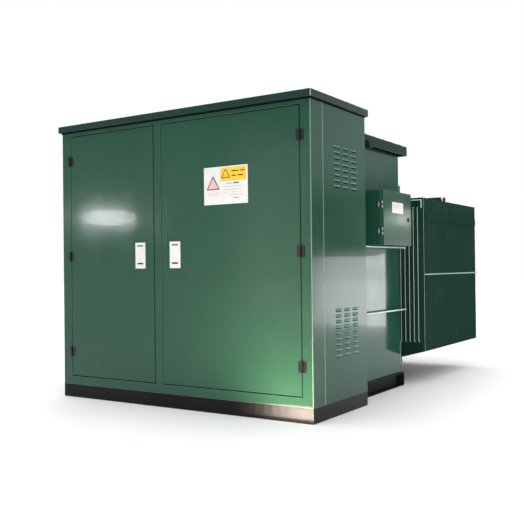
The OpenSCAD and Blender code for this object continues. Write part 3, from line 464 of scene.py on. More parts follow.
# the frame's front corner folds get the paler paint, a painted highlight
folded("front_frame", 4.0, 0.8, 4, frame_corner, FOLD_HIGHLIGHT, 1, frame_tone)
for door in ("door_left", "door_right"):
    lo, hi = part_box(door)

    def door_fold(e, lo=lo, hi=hi):
        m = middle(e)
        on_rim = min(abs(m.x - lo.x), abs(m.x - hi.x), abs(m.z - lo.z), abs(m.z - hi.z)) < 1e-4
        return on_rim and abs(m.y - FY) < 1e-4

    def door_tone(c, index, lo=lo):
        return 0 if c.x < lo.x + 0.005 else index
    # each door's folded rim takes the dark paint as painted shade in the gap, except along its left edge
    folded(door, 3.0, 0.8, 3, door_fold, DARK, 0, door_tone)

# ---------------------------------------------------------------- louvred side panels

LOUVRE_L, LOUVRE_STEP = 0.084, 0.0355
COLS = [FY + v for v in (0.338, 0.456, 0.574)]
ROWS = [1.441 + i * LOUVRE_STEP for i in range(8)] + [0.374 + i * LOUVRE_STEP for i in range(9)]
SLOT_LOW, SLOT_HIGH = -0.007, 0.011   # a slot's lower and upper edge from its row


def louvre_into(bm, y, z, x):
    """A pressed hood, open along its lower edge. It dies into the sheet at its top and ends."""
    t, depth, height = 0.0014, 0.0066, 0.015
    n, m = 14, 5
    outer, inner = [], []
    for i in range(n + 1):
        u = -1 + 2 * i / n
        bulge = max(0.0, 1 - abs(u) ** 3.2) ** 0.6
        col_o, col_i = [], []
        for j in range(m + 1):
            v = j / m
            rise = math.sin(v * math.pi / 2) ** 0.9
            zz = z + height * (1 - v)
            yy, proud = y + u * LOUVRE_L / 2, depth * bulge * rise
            col_o.append(bm.verts.new((x + proud, yy, zz)))
            col_i.append(bm.verts.new((x + max(proud - t, -0.0002), yy, zz)))
        outer.append(col_o)
        inner.append(col_i)
    # the hood's outer face below its top row takes the lighter edge paint and its lower rim the pale paint:
    # painted highlights
    for i in range(n):
        for j in range(m):
            for grid, flip in ((outer, False), (inner, True)):
                q = (grid[i][j], grid[i + 1][j], grid[i + 1][j + 1], grid[i][j + 1])
                bm.faces.new(q[::-1] if flip else q).material_index = 0 if flip or j == 0 else 1
        bm.faces.new((outer[i][m], outer[i + 1][m], inner[i + 1][m], inner[i][m])).material_index = 2


def side_panel(side):
    """A wall sheet with real slots under its louvres. side is 1 for the right wall, -1 for the left."""
    node = "side_panel_right" if side > 0 else "side_panel_left"
    lo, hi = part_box(node)
    x1, x0 = HALF_W, HALF_W - 0.003
    bm = bmesh.new()
    ys = sorted({round(v, 5) for c in COLS for v in (c - LOUVRE_L / 2 + 0.004, c + LOUVRE_L / 2 - 0.004)}
                | {round(lo.y, 5), round(hi.y, 5)})
    zs = sorted({round(v, 5) for r in ROWS for v in (r + SLOT_LOW, r + SLOT_HIGH)}
                | {round(lo.z, 5), round(hi.z, 5)})

    def hole(i, j):
        """Whether a cell of the sheet's grid is cut out."""
        yc, zc = (ys[i] + ys[i + 1]) / 2, (zs[j] + zs[j + 1]) / 2
        return any(abs(yc - c) < 0.03 for c in COLS) and any(SLOT_LOW < zc - r < SLOT_HIGH for r in ROWS)
    vo = [[bm.verts.new((x1, y, z)) for z in zs] for y in ys]
    vi = [[bm.verts.new((x0, y, z)) for z in zs] for y in ys]
    ny, nz = len(ys) - 1, len(zs) - 1
    for i in range(ny):
        for j in range(nz):
            if hole(i, j):
                continue
            bm.faces.new((vo[i][j], vo[i + 1][j], vo[i + 1][j + 1], vo[i][j + 1]))
            bm.faces.new((vi[i][j], vi[i][j + 1], vi[i + 1][j + 1], vi[i + 1][j]))
            for (a, b, ni, nj) in (((i, j), (i + 1, j), i, j - 1), ((i + 1, j), (i + 1, j + 1), i + 1, j),
                                   ((i + 1, j + 1), (i, j + 1), i, j + 1), ((i, j + 1), (i, j), i - 1, j)):
                outside = ni < 0 or nj < 0 or ni >= ny or nj >= nz
                if outside or hole(ni, nj):
                    bm.faces.new((vo[a[0]][a[1]], vi[a[0]][a[1]], vi[b[0]][b[1]], vo[b[0]][b[1]]))
    bmesh.ops.recalc_face_normals(bm, faces=bm.faces)
    front = [e for e in bm.edges if len(e.link_faces) == 2 and abs(e.verts[0].co.x - x1) < 1e-6
             and abs(e.verts[1].co.x - x1) < 1e-6 and abs(e.verts[0].co.y - lo.y) < 1e-5
             and abs(e.verts[1].co.y - lo.y) < 1e-5]
    # the sheet's front fold takes the pale paint as a painted highlight
    bevel(bm, front, 0.0026, 3, 2)
    for c in COLS:
        for r in ROWS:
            louvre_into(bm, c, r - 0.001, x1 - 0.0002)
    if side < 0:
        bmesh.ops.scale(bm, vec=(-1, 1, 1), verts=bm.verts)
        bmesh.ops.reverse_faces(bm, faces=bm.faces)
    make(node + "_shape", bm, "housing", "green_paint", replaces=[node], smooth=50,
         mats=slot_materials("wall_paint") + [M["highlight_paint"]])


side_panel(1)
side_panel(-1)

# ---------------------------------------------------------------- radiators

PANEL_W, PANELS, PITCH, PANEL_T = 0.520, 27, 0.050, 0.010
Z_LOW, Z_HIGH, DROP, FLANGE = 0.258, 1.476, 0.050, 0.014
FLAT_HALF = 0.070                 # half the level part of a panel's lower edge
STEP = 0.007                      # width of the pressed step inside the flange
GROOVES = [(k - 6) * 0.0365 for k in range(13)]
GROOVE_R, FLOOR_R = 0.0095, 0.006
GROOVE_Z = (0.342, 1.394)
HEADER_IN, HEADER_R = 0.062, 0.0445
BOLT_CIRCLE = 0.067
# material indices of a radiator: SHOULDER and LIT are paler paints for painted highlights, FLOOR and FACE
# darker ones for painted shade
SHOULDER, ZINC, FLOOR, LIT, FACE = 1, 2, 3, 4, 5


def lower_edge(x):
    """Height of a panel's lower edge, which slopes up on both sides of a level middle."""
    a = abs(x)
    if a <= FLAT_HALF:
        return Z_LOW - DROP
    t = (a - FLAT_HALF) / (PANEL_W / 2 - 0.006 - FLAT_HALF)
    return min(Z_LOW + 0.012, Z_LOW - DROP * (1 - min(t, 1.0)))


def groove_distance(x, z, g):
    return math.hypot(x - g, z - min(max(z, GROOVE_Z[0]), GROOVE_Z[1]))


def half_thickness(x, z):
    """Thin at the welded flange and in the grooves, full between them."""
    rim = min(PANEL_W / 2 - abs(x), Z_HIGH - z, z - lower_edge(x))
    body = min(1.0, max(0.0, (rim - FLANGE) / STEP))
    body = body * body * (3 - 2 * body)
    h = 0.0016 + 0.0034 * body
    for g in GROOVES:
        d = groove_distance(x, z, g) / GROOVE_R
        if d < 1:
            s = d * d * (3 - 2 * d)
            h = min(h, 0.0018 + 0.0032 * s)
    return h


def panel_columns(across):
    """Places across a panel where its surface bends, with the given offsets in each groove."""
    xs = {-PANEL_W / 2, PANEL_W / 2}
    for s in (-1, 1):
        xs |= {s * (PANEL_W / 2 - v) for v in (0.0015, FLANGE, FLANGE + STEP / 2, FLANGE + STEP)}
    for g in GROOVES:
        xs |= {g + v for v in across}
    return sorted(round(v, 5) for v in xs)


FINE_X = panel_columns((-GROOVE_R, -FLOOR_R, 0.0, FLOOR_R, GROOVE_R))
COARSE_X = panel_columns((-GROOVE_R, 0.0, GROOVE_R))
# heights of a panel's grid points, and their first ones above its sloping lower edge
GRID_Z = [0.285, 0.308, 0.3325, 0.336, 0.342, 1.394, 1.400, 1.4035,
          1.43, 1.455, 1.4585, 1.462, 1.4745, 1.476]
GRID_LOW = [0.0, 0.0015, 0.014, 0.0175, 0.021]


def panel_tone(x, z, first):
    """Painted shade in the flute floors and painted highlights on the flutes' shoulders and the top step,
    palest on the first panel, whose flat face is also painted darker as shade.
    """
    d, left = min((groove_distance(x, z, g), x < g) for g in GROOVES)
    lit = LIT if first else SHOULDER
    step = min(PANEL_W / 2 - abs(x), Z_HIGH - z) - FLANGE
    if z > 1.39 and 0 < step < STEP:
        return lit
    if d < FLOOR_R:
        return FLOOR
    if d < GROOVE_R:
        return lit if left else SHOULDER
    return FACE if first else 0


def panel_into(bm, xc, y, first, end):
    """One radiator panel with its edges painted paler as highlights. The end ones of a bank have finer
    flutes with painted shade and painted highlights.
    """
    rim = LIT if first else SHOULDER
    front, back = [], []
    for x in (FINE_X if end else COARSE_X):
        f, b = [], []
        for z in [lower_edge(x) + v for v in GRID_LOW] + GRID_Z:
            h = half_thickness(x, z)
            f.append(bm.verts.new((xc + x, y - h, z)))
            b.append(bm.verts.new((xc + x, y + h, z)))
        front.append(f)
        back.append(b)
    nx, nz = len(front) - 1, len(front[0]) - 1
    for i in range(nx):
        for j in range(nz):
            c = (front[i][j].co + front[i + 1][j + 1].co) / 2
            tone = panel_tone(c.x - xc, c.z, first) if end else 0
            for q in ((front[i][j], front[i + 1][j], front[i + 1][j + 1], front[i][j + 1]),
                      (back[i][j], back[i][j + 1], back[i + 1][j + 1], back[i + 1][j])):
                bm.faces.new(q).material_index = tone
    for j in range(nz):
        for i, flip in ((0, True), (nx, False)):
            q = (front[i][j], back[i][j], back[i][j + 1], front[i][j + 1])
            bm.faces.new(q[::-1] if flip else q).material_index = rim
    for i in range(nx):
        for j, flip in ((0, True), (nz, False)):
            q = (front[i][j], front[i + 1][j], back[i + 1][j], back[i][j])
            bm.faces.new(q[::-1] if flip else q).material_index = rim


RAD_Y0 = FY + 1.779 + PANEL_T / 2
for k in range(4):
    node = f"radiator_bank_{k + 1}"
    lo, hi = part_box(node)
    xc = (lo.x + hi.x) / 2
    run, r = hi.y - lo.y, HEADER_R
    bm = bmesh.new()
    for i in range(PANELS):
        panel_into(bm, xc, RAD_Y0 + i * PITCH, i == 0, i in (0, PANELS - 1))
    for z in (Z_LOW + HEADER_IN, Z_HIGH - HEADER_IN):
        # the header pipe with its flange, weld rings on both sides of each panel, and eight bolts
        lathe_into(bm, [(0, 0), (0, 0.079), (0.0015, 0.0835), (0.003, 0.085), (0.011, 0.085),
                        (0.0125, 0.0835), (0.014, 0.079), (0.014, r + 0.006), (0.018, r + 0.001), (0.024, r),
                        (run - 0.006, r), (run - 0.002, r - 0.002), (run, r - 0.008), (run, 0)],
                   (xc, lo.y, z), segments=36)
        for i in range(PANELS):
            y = RAD_Y0 + i * PITCH
            for s in (-1, 1):
                lathe_into(bm, [(-0.0035, r - 0.002), (-0.003, r + 0.0022), (0, r + 0.0035),
                                (0.003, r + 0.0022), (0.0035, r - 0.002)],
                           (xc, y + s * 0.0065, z), segments=24)
        for a in range(8):
            t = math.radians(22.5 + 45 * a)
            c = (xc + BOLT_CIRCLE * math.cos(t), lo.y, z + BOLT_CIRCLE * math.sin(t))
            lathe_into(bm, [(0.013, 0), (0.013, 0.0125), (0.0225, 0.0125), (0.0240, 0.011), (0.0240, 0)], c,
                       segments=6, material=ZINC)
            lathe_into(bm, [(0.022, 0), (0.022, 0.0072), (0.0300, 0.0072), (0.0310, 0.006), (0.0310, 0)], c,
                       segments=12, material=ZINC)
    make(node + "_shape", bm, "housing", "green_paint", replaces=[node], smooth=35,
         mats=[M[m] for m in ("radiator_paint", "panel_edge_highlight", "zinc", "flute_shade", "flute_highlight",
                              "shaded_panel_face")])

# ---------------------------------------------------------------- bushings, gauges and other fittings

CAB_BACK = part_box("tank_shell")[0].y   # the tank's front wall, which closes the cabinet


def cad_finish(node, mm, steps, faces=None, mats=None):
    """A softened copy of a CAD node whose faces may take other materials by place."""
    bm = cad_bmesh(node)
    bevel(bm, sharp_edges(bm, mm * MM), mm * MM, steps)
    if faces:
        for f in bm.faces:
            f.material_index = faces(f.calc_center_median())
    make(node + "_shape", bm, BODY_OF[node], SLOT_OF[node], mats=mats, replaces=[node])


def metal_beyond(reach):
    """The second material for faces further than reach from the tank's wall."""
    return lambda c: 1 if c.y < CAB_BACK - reach else 0


cad_finish("lv_bushings", 1.5, 3, metal_beyond(0.0905), [M["porcelain"], M["zinc"]])
cad_finish("hv_bushings", 1.5, 3, metal_beyond(0.1505), [M["epoxy"], M["brass"]])
for letter in "abc":
    cad_finish(f"fuse_holder_{letter}", 1.2, 3, metal_beyond(0.0605), [M["fibreglass"], M["zinc"]])
cad_finish("relief_ring", 0.8, 3)
cad_finish("thermometer_pointer", 0.4, 2)
cad_finish("control_box_lock", 0.8, 3, mats=[M["lock_steel"], M["lock_steel"]])
cad_finish("cable_glands", 1.0, 2)
for rod in ("left_upper_rod", "left_lower_rod", "right_upper_rod", "right_lower_rod"):
    cad_finish(rod, 1.0, 2)

# the thermometer's dial with its scale, and the oil level's yellow stripe
DIAL, INK, STRIPE = 1, 2, 3
LEVEL_X, LEVEL_LOW = (-0.4515, -0.4285), 1.5005
bm = cad_bmesh("gauges")
bevel(bm, sharp_edges(bm, 0.001), 0.001, 2)
p_lo, p_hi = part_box("thermometer_pointer")
gx, gz = (p_lo.x + p_hi.x) / 2, p_lo.z + 0.012
dial_y = CAB_BACK - 0.0405
lathe_into(bm, [(0, 0.0), (0, 0.0565), (0.0004, 0.0565), (0.0004, 0.0)], (gx, dial_y - 0.0004, gz),
           material=DIAL)
for k in range(25):
    t = math.radians(-120 + 10 * k)
    long = k % 4 == 0
    r0, r1 = (0.040 if long else 0.046), 0.052
    c = Vector((gx, dial_y - 0.0006, gz))
    d = Vector((math.sin(t), 0, math.cos(t)))
    side = Vector((math.cos(t), 0, -math.sin(t))) * (0.0011 if long else 0.0006)
    quad = [c + d * r0 - side, c + d * r1 - side, c + d * r1 + side, c + d * r0 + side]
    near = [bm.verts.new(v) for v in quad]
    far = [bm.verts.new(v + Vector((0, 0.0003, 0))) for v in quad]
    for q in (near, far[::-1]):
        bm.faces.new(q).material_index = INK
    for i in range(4):
        j = (i + 1) % 4
        bm.faces.new((near[i], far[i], far[j], near[j])).material_index = INK
box_into(bm, (LEVEL_X[0], CAB_BACK - 0.0165, LEVEL_LOW), (LEVEL_X[1], CAB_BACK - 0.0155, 1.585), STRIPE)
make("gauges_shape", bm, "housing", "black_plastic", replaces=["gauges"],
     mats=[M["black_plastic"], M["white_enamel"], M["ink_dark"], M["ink_yellow"]])
bm = bmesh.new()
lathe_into(bm, [(0, 0), (0, 0.055), (0.0012, 0.0565), (0.0024, 0.0565), (0.0024, 0)],
           (gx, CAB_BACK - 0.0515, gz))
box_into(bm, (LEVEL_X[0], CAB_BACK - 0.0255, LEVEL_LOW), (LEVEL_X[1], CAB_BACK - 0.0235, 1.6395))
make("gauge_glasses", bm, "housing", "black_plastic", mats=[M["glass"]])

# weld beads where plates and pipes meet the tank


def bead_into(bm, a, b, r=0.0032):
    """A row of overlapping half drops, like a run of weld, from a to b."""
    a, b = Vector(a), Vector(b)
    length = (b - a).length
    n = max(2, int(length / 0.009))
    profile = [((i + t) * length / n, r * k)
               for i in range(n) for t, k in ((0.08, 0.72), (0.5, 1.0), (0.92, 0.72))]
    rings = rings_into(bm, towards(a, b), profile, 8, 0)
    bm.faces.new(rings[0][::-1])
    bm.faces.new(rings[-1])


TANK_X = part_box("control_box")[0].x                  # the tank's side wall
TANK_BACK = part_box("tank_stiffeners")[1].y - 0.010   # and its back wall
RIB_Z, LID_Z = (1.078, 0.597), 1.8445
CORNER_X = TANK_X * 0.9842
bm = bmesh.new()
for s in (-1, 1):
    wall_x = s * (TANK_X + 0.0005)
    for z in RIB_Z:
        for dz in (-0.0065, 0.0065):
            bead_into(bm, (wall_x, CAB_BACK + 0.004, z + dz), (wall_x, TANK_BACK, z + dz))
    for z0, z1 in ((0.170, 0.330), (1.508, 1.572)):
        bead_into(bm, (s * CORNER_X, TANK_BACK, z0), (s * CORNER_X, TANK_BACK, z1), 0.003)
    bead_into(bm, (wall_x, CAB_BACK + 0.004, LID_Z), (wall_x, TANK_BACK, LID_Z), 0.003)
bead_into(bm, (-TANK_X, TANK_BACK + 0.0005, LID_Z), (TANK_X, TANK_BACK + 0.0005, LID_Z), 0.003)
for xc in (-0.81, -0.27, 0.27, 0.81):
    for z in (0.320, 1.414):
        lathe_into(bm, [(-0.001, 0.0435), (0.001, 0.0500), (0.004, 0.0478), (0.006, 0.0440),
                        (0.0045, 0.0430)], (xc, TANK_BACK, z))
make("tank_weld_beads", bm, "housing", "green_paint")

# ---------------------------------------------------------------- sign, label and handle details


def prism_into(bm, pts, normal, depth, material, inner=None):
    """A thin raised print: a polygon, or the band between it and an inner polygon with as many corners."""
    normal = Vector(normal)
    top = [bm.verts.new(Vector(p) + normal * depth) for p in pts]
    low = [bm.verts.new(Vector(p)) for p in pts]
    n = len(pts)
    if inner is None:
        bm.faces.new(top).material_index = material
        bm.faces.new(low[::-1]).material_index = material
    else:
        itop = [bm.verts.new(Vector(p) + normal * depth) for p in inner]
        ilow = [bm.verts.new(Vector(p)) for p in inner]
        for i in range(n):
            j = (i + 1) % n
            bm.faces.new((top[i], top[j], itop[j], itop[i])).material_index = material
            bm.faces.new((low[j], low[i], ilow[i], ilow[j])).material_index = material
            bm.faces.new((itop[i], itop[j], ilow[j], ilow[i])).material_index = material
    for i in range(n):
        j = (i + 1) % n
        bm.faces.new((top[j], top[i], low[i], low[j])).material_index = material


def rounded_triangle(cx, cz, size, r, steps=5):
    """Corner points of an upright triangle whose corners have radius r."""
    out = []
    for k in range(3):
        a = math.radians(90 + 120 * k)
        c = (cx + (size - 2 * r) * math.cos(a), cz + (size - 2 * r) * math.sin(a))
        for i in range(steps + 1):
            t = a + math.radians(-60 + 120 * i / steps)
            out.append((c[0] + r * math.cos(t), c[1] + r * math.sin(t)))
    return out


# black strips of painted shade under the roof's lip and under the tank's lid
SEAL_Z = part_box("roof")[0].z


def cabinet_outline(out):
    x, y0, y1 = HALF_W + out, FY - out, CAB_BACK + out
    return [(-x, y0, SEAL_Z), (x, y0, SEAL_Z), (x, y1, SEAL_Z), (-x, y1, SEAL_Z)]


bm = bmesh.new()
prism_into(bm, cabinet_outline(0.0045), (0, 0, -1), 0.009, 0, inner=cabinet_outline(0.0002))
bevel(bm, sharp_edges(bm, 0.001), 0.001, 2, 0)
make("roof_shade_strip", bm, "housing", "rubber", mats=[M["shade_strip_black"]])
bm = bmesh.new()
LOW, HIGH = 1.798, 1.8425
for side in (-1, 1):
    x = side * (TANK_X + 0.002)
    box_into(bm, (x - 0.0015, CAB_BACK + 0.004, LOW), (x + 0.0015, TANK_BACK + 0.0035, HIGH))
box_into(bm, (-TANK_X - 0.0035, TANK_BACK + 0.0005, LOW), (TANK_X + 0.0035, TANK_BACK + 0.0035, HIGH))
make("lid_shade_strip", bm, "housing", "rubber", mats=[M["shade_strip_black"]])

# the sign: a made-up layout of blocks, bars and empty triangles, in parts of the plate's width and height
S_LO, S_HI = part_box("sign_plate")
PLATE_Y = FY - 0.0015
OUT = (0, -1, 0)
RED, YELLOW, GREY, BLACK, PINK = 1, 2, 3, 4, 5
bm = cad_bmesh("sign_plate")
bevel(bm, sharp_edges(bm, 0.0005), 0.0005, 2)


def on_sign(u, v):
    return (S_LO.x + (S_HI.x - S_LO.x) * u, PLATE_Y, S_LO.z + (S_HI.z - S_LO.z) * v)


def sign_bar(u0, v0, u1, v1, material, lift):
    corners = [on_sign(u0, v0), on_sign(u1, v0), on_sign(u1, v1), on_sign(u0, v1)]
    prism_into(bm, corners, OUT, lift, material)


def triangle_at(u, v, size, r):
    x, _, z = on_sign(u, v)
    return [(px, PLATE_Y, pz) for px, pz in rounded_triangle(x, z, size, r)]


def sign_triangle(u, v, size, band, material, lift):
    prism_into(bm, triangle_at(u, v, size, 0.006), OUT, lift, material,
               inner=triangle_at(u, v, size - 2 * band, 0.003))


sign_bar(0.385, 0.605, 0.965, 0.965, YELLOW, 0.0003)
sign_triangle(0.215, 0.52, 0.062, 0.0070, RED, 0.0005)
prism_into(bm, triangle_at(0.215, 0.52, 0.048, 0.003), OUT, 0.0003, PINK)
sign_triangle(0.505, 0.775, 0.042, 0.0046, BLACK, 0.0006)
for v, u0, u1, ink in ((0.86, 0.64, 0.80, BLACK), (0.86, 0.83, 0.92, BLACK), (0.74, 0.64, 0.74, BLACK),
                       (0.74, 0.77, 0.90, BLACK), (0.545, 0.52, 0.64, GREY), (0.545, 0.68, 0.80, BLACK)):
    sign_bar(u0, v - 0.014, u1, v + 0.014, ink, 0.0005)
for v, u0, u1, ink in ((0.30, 0.07, 0.37, PINK), (0.25, 0.10, 0.34, PINK), (0.46, 0.45, 0.90, GREY),
                       (0.38, 0.45, 0.86, GREY), (0.31, 0.45, 0.90, PINK), (0.24, 0.60, 0.90, GREY),
                       (0.16, 0.68, 0.80, BLACK)):
    sign_bar(u0, v - 0.007, u1, v + 0.007, ink, 0.0004)
make("sign_plate_shape", bm, BODY_OF["sign_plate"], "sign", replaces=["sign_plate"],
     mats=[M["sign"], M["ink_red"], M["ink_yellow"], M["ink_grey"], M["ink_dark"], M["ink_pink"]])

# the control box's label and the leaves, screws and knuckles of its hinges
bm = cad_bmesh("control_label")
bevel(bm, sharp_edges(bm, 0.0004), 0.0004, 2)
l_lo, l_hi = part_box("control_label")
yc = (l_lo.y + l_hi.y) / 2
for z, part in ((1.346, 0.42), (1.362, 0.36), (1.374, 0.44), (1.385, 0.3)):
    y0, y1 = (yc + k * part * (l_hi.y - l_lo.y) for k in (-1, 1))
    prism_into(bm, [(l_hi.x, y0, z - 0.0022), (l_hi.x, y1, z - 0.0022), (l_hi.x, y1, z + 0.0022),
                    (l_hi.x, y0, z + 0.0022)], (1, 0, 0), 0.0003, 2)
make("control_label_shape", bm, BODY_OF["control_label"], "label",
     mats=[M["label"], M["label"], M["ink_pink"]], replaces=["control_label"])

c_lo, c_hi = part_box("control_box")
door_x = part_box("control_box_door")[1].x
HINGE_Z = (1.374, 1.185)
# owner: where its leaf starts, where its pale part ends, and where its dark part ends. The pale part is a
# white paint that stands as a painted highlight on the steel leaf.
LEAVES = {"housing": (c_hi.x - 0.0185, c_hi.x - 0.0095, c_hi.x - 0.0015),
          "control_door": (door_x - 0.0060, door_x - 0.0125, door_x - 0.0145)}
for owner, (x0, x1, x2) in LEAVES.items():
    bm = bmesh.new()
    for z in HINGE_Z:
        for a, b, material in ((x0, x1, 0), (x1, x2, 1)):
            box_into(bm, (min(a, b), c_lo.y - 0.0030, z - 0.024), (max(a, b), c_lo.y + 0.0002, z + 0.024),
                     material)
        outer = [e for e in sharp_edges(bm, 0.0007) if all(abs(v.co.x - x1) > 1e-4 for v in e.verts)]
        bevel(bm, outer, 0.0007, 2, material=0)
        for dz in (-0.017, 0.017):
            lathe_into(bm, [(-0.0028, 0), (-0.0028, 0.0036), (-0.0038, 0.0034), (-0.0048, 0.0022),
                            (-0.0051, 0)], ((x0 + x1) / 2, c_lo.y, z + dz), segments=18)
    make("control_hinge_leaves_" + ("box" if owner == "housing" else "door"), bm, owner, "chrome",
         mats=[M["hinge_highlight_white"], M["hinge_black"]])
bm = bmesh.new()
for z in HINGE_Z:
    tube_into(bm, *((c_hi.x + 0.003, c_lo.y - 0.006, z + dz) for dz in (-0.0078, 0.0078)), 0.0052, 24)
make("control_hinge_door_knuckles", bm, "control_door", "chrome", mats=[M["hinge_black"]])

# the door levers' key slot and grip lines, and a dark strip under each lever painted as the shade of its
# recess, with a grey strip over it
for side in ("left", "right"):
    h_lo, h_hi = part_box(f"{side}_handle")
    xc = (h_lo.x + h_hi.x) / 2
    bm = bmesh.new()
    if side == "left":
        lathe_into(bm, [(0, 0), (0, 0.0062), (-0.0006, 0.0072), (0.0012, 0.0072), (0.0016, 0.0066),
                        (0.0016, 0.0)], (xc, FY - 0.0097, 1.006), segments=28)
        box_into(bm, (xc - 0.0007, FY - 0.00985, 1.0015), (xc + 0.0007, FY - 0.0090, 1.0105), 1)
    else:
        for z in (1.003, 1.009, 1.015):
            box_into(bm, (xc - 0.020, FY - 0.0092, z - 0.0012), (xc + 0.020, FY - 0.0084, z + 0.0012))
        bevel(bm, sharp_edges(bm, 0.0003), 0.0003, 2, material=0)
    make(f"{side}_handle_trim", bm, f"{side}_handle", "white_enamel",
         mats=[M["white_enamel"], M["ink_dark"]])

    bm = bmesh.new()
    box_into(bm, (xc - 0.021, FY - 0.0089, h_lo.z - 0.0095), (xc + 0.021, FY - 0.0010, h_lo.z - 0.0015))
    box_into(bm, (xc - 0.021, FY - 0.0088, h_hi.z + 0.0006), (xc + 0.021, FY - 0.0010, h_hi.z + 0.0046), 1)
    bevel(bm, sharp_edges(bm, 0.0004), 0.0004, 2, material=0)
    make(f"{side}_lock_recess_shade", bm, f"{side}_door", "black_plastic",
         mats=[M["ink_dark"], M["grey_plastic"]])

# ---------------------------------------------------------------- CAD nodes that stay, with better materials

for node, ob in NODES.items():
    ob.data.materials.clear()
    ob.data.materials.append(M[SLOT_OF[node]])

# ---------------------------------------------------------------- floor, lights and camera


def area(name, at, target, size, power, colour=(1, 1, 1), size_y=None):
    """A rectangular lamp at a place, turned to a target."""
    data = bpy.data.lights.new(name, "AREA")
    data.shape = "RECTANGLE"
    data.size = size
    data.size_y = size_y or size
    data.energy = power
    data.color = colour
    ob = bpy.data.objects.new(name, data)
    ob.location = at
    ob.rotation_euler = (Vector(target) - Vector(at)).to_track_quat("-Z", "Y").to_euler()
    scene.collection.objects.link(ob)
    return ob


me = bpy.data.meshes.new("floor")
me.from_pydata([(-40, -40, 0), (40, -40, 0), (40, 40, 0), (-40, 40, 0)], [], [(0, 1, 2, 3)])
floor = bpy.data.objects.new("floor", me)
floor.location.z = -0.0006
scene.collection.objects.link(floor)
fmat, ftree, fb = new_material("pale_floor")
ftree.links.new(ramp(ftree, noise(ftree, 0.8, 3.0), [(0.3, grey(0.80)), (0.7, grey(0.84))]),
                fb.inputs["Base Color"])
fb.inputs["Roughness"].default_value = 0.6
fb.inputs["Specular IOR Level"].default_value = 0.2
me.materials.append(fmat)

world = bpy.data.worlds.new("studio")
world.use_nodes = True
scene.world = world
wt = world.node_tree
wbg = wt.nodes["Background"]
direction = wt.nodes.new("ShaderNodeTexCoord")
sep = wt.nodes.new("ShaderNodeSeparateXYZ")
wt.links.new(direction.outputs["Generated"], sep.inputs["Vector"])


def facing(x, y, z=0.0):
    """Cosine of the angle between a sky direction and the unit vector (x, y, z)."""
    parts = [maths(wt, "MULTIPLY", sep.outputs[k], v) for k, v in zip("XYZ", (x, y, z)) if v]
    total = parts[0]
    for p in parts[1:]:
        total = maths(wt, "ADD", total, p)
    return total


def brightest(values):
    top = values[0]
    for v in values[1:]:
        top = maths(wt, "MAXIMUM", top, v)
    return top


UP = sep.outputs["Z"]
sky = brightest([
    # the studio's walls all round, then its bright ceiling
    ramp(wt, UP, [(0.06, grey(0.13)), (0.13, grey(0.26))]),
    maths(wt, "MULTIPLY", ramp(wt, UP, [(0.42, grey(0.0)), (0.78, grey(1.0))]), 1.8),
    # broad soft panels behind the object and behind the camera
    ramp(wt, facing(-0.545, 0.838), [(0.70, grey(0.0)), (0.86, grey(0.8))]),
    ramp(wt, facing(0.545, -0.838), [(0.76, grey(0.0)), (0.92, grey(0.6))]),
    # two narrower ones, which the side walls and the doors mirror
    maths(wt, "MULTIPLY", ramp(wt, facing(0.462, 0.887), [(0.93, grey(0.0)), (0.975, grey(0.8))]),
          ramp(wt, UP, [(0.075, grey(0.0)), (0.12, grey(1.0))])),
    ramp(wt, facing(-0.669, -0.743), [(0.965, grey(0.0)), (0.992, grey(0.9))]),
])
# the camera itself sees plain white behind the object
rays = wt.nodes.new("ShaderNodeLightPath")
white = wt.nodes.new("ShaderNodeMix")
wt.links.new(rays.outputs["Is Camera Ray"], white.inputs["Factor"])
wt.links.new(sky, white.inputs["A"])
white.inputs["B"].default_value = 1.0
wt.links.new(white.outputs["Result"], wbg.inputs["Color"])
wbg.inputs["Strength"].default_value = 1.0

sun_data = bpy.data.lights.new("soft_sky", "SUN")
sun_data.energy = 0.9
sun_data.angle = math.radians(50)
sun = bpy.data.objects.new("soft_sky", sun_data)
sun.rotation_euler = Vector((0.05, 0.10, -1.0)).to_track_quat("-Z", "Y").to_euler()
scene.collection.objects.link(sun)

# tall windows far behind, which the glossy side walls and the control box's door mirror
DAY = (1.0, 1.0, 0.98)
area("far_window_a", (4.375, 5.2, 0.55), (1.0, -1.2, 0.55), 0.95, 12.9, DAY, size_y=1.08)
area("far_window_b", (3.485, 5.2, 0.55), (1.0, -0.6, 0.55), 0.53, 9.3, (1.0, 0.99, 0.97), size_y=1.08)
area("box_window", (3.34, 5.2, 1.66), (1.07, -0.22, 1.3), 0.36, 1.0, DAY, size_y=0.24)
area("box_window_low", (3.30, 5.2, 1.30), (1.07, -0.22, 1.2), 0.55, 1.3, DAY, size_y=0.75)

# a pale wall with soft edges, which the right door mirrors
for k in range(3):
    area(f"tall_wall_{k}", (-1.43, -5.3 + 0.02 * k, 1.35), (0.9, -1.5, 1.0), 1.35 - 0.3 * k, 2.8,
         size_y=2.8 - 0.4 * k)

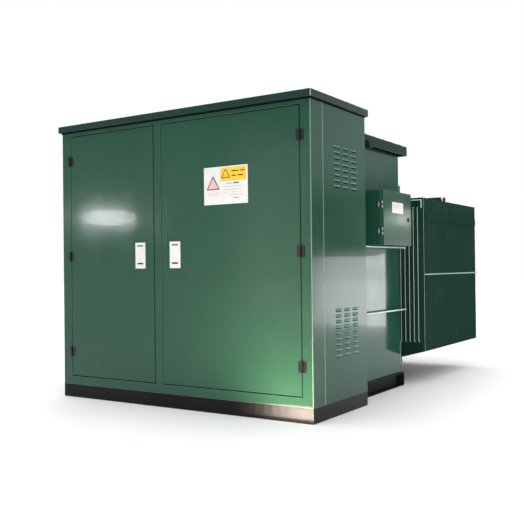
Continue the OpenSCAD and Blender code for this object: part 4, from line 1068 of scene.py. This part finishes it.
# a lamp of slats, which the left door mirrors
LAMP_X, LAMP_Y = -4.08, -5.11
area("lamp", (LAMP_X, LAMP_Y, 1.63), (-0.6, -1.5, 1.3), 0.7, 4.5, size_y=0.17)
for k, width in enumerate((0.40, 0.62, 0.76, 0.70, 0.46)):
    rise = 0.043 * k
    area(f"lamp_slat_{k}", (LAMP_X, LAMP_Y + 0.01, 1.545 + rise), (-0.6, -1.5, 1.215 + rise),
         width, 3.2 * width, size_y=0.016)

fill = area("radiator_fill", (4.5, -3.6, 1.3), (1.07, 1.1, 0.85), 1.0, 7)
fill.data.spread = math.radians(40)

# the warm patch of floor by the right door: its soft light on the door
glow = area("floor_glow", (0.95, -1.96, 0.004), (0.95, -1.96, 1.0), 0.46, 35, (1.0, 0.60, 0.42),
            size_y=0.64)
glow.visible_camera = glow.visible_glossy = False
# and its reflection in the plinth, which grows to the right as more of these nested cards are seen
CARD_TOP, CARD_END = 0.076, 1.07
for k, strength in enumerate((0.3, 0.3, 0.8, 1.6, 2.6, 2.6, 1.6, 0.6)):
    start = 0.46 + 0.06 * k
    width, centre = CARD_END - start, (start + CARD_END) / 2
    card = area(f"plinth_card_{k}", (centre, FY - 0.10 - 0.003 * k, CARD_TOP / 2),
                (centre, FY, CARD_TOP / 2), width, strength * width, (1.0, 0.83, 0.69), size_y=CARD_TOP)
    card.data.spread = math.radians(80)
    card.visible_camera = card.visible_diffuse = False

# the camera the photo was taken with, recovered from its vanishing points
CAM = Vector((3.2724, -5.4845, 0.9379))
YAW, PITCH, ROLL = (math.radians(v) for v in (-33.0299, 0.3988, -0.6373))
FOCAL_PX, FRAME_PX, SENSOR = 761.42, 524, 36.0
ahead = Vector((math.sin(YAW) * math.cos(PITCH), math.cos(YAW) * math.cos(PITCH), math.sin(PITCH)))
right = Vector((math.cos(YAW), -math.sin(YAW), 0))
up = right.cross(ahead)
cam_x = right * math.cos(ROLL) + up * math.sin(ROLL)
cam_y = up * math.cos(ROLL) - right * math.sin(ROLL)
cam_data = bpy.data.cameras.new("camera")
cam_data.sensor_fit = "HORIZONTAL"
cam_data.sensor_width = SENSOR
cam_data.lens = FOCAL_PX * SENSOR / FRAME_PX
cam_data.clip_end = 200
camera = bpy.data.objects.new("camera", cam_data)
camera.matrix_world = Matrix.Translation(CAM) @ Matrix((cam_x, cam_y, -ahead)).transposed().to_4x4()
scene.collection.objects.link(camera)
scene.camera = camera
scene.view_settings.view_transform = "Standard"
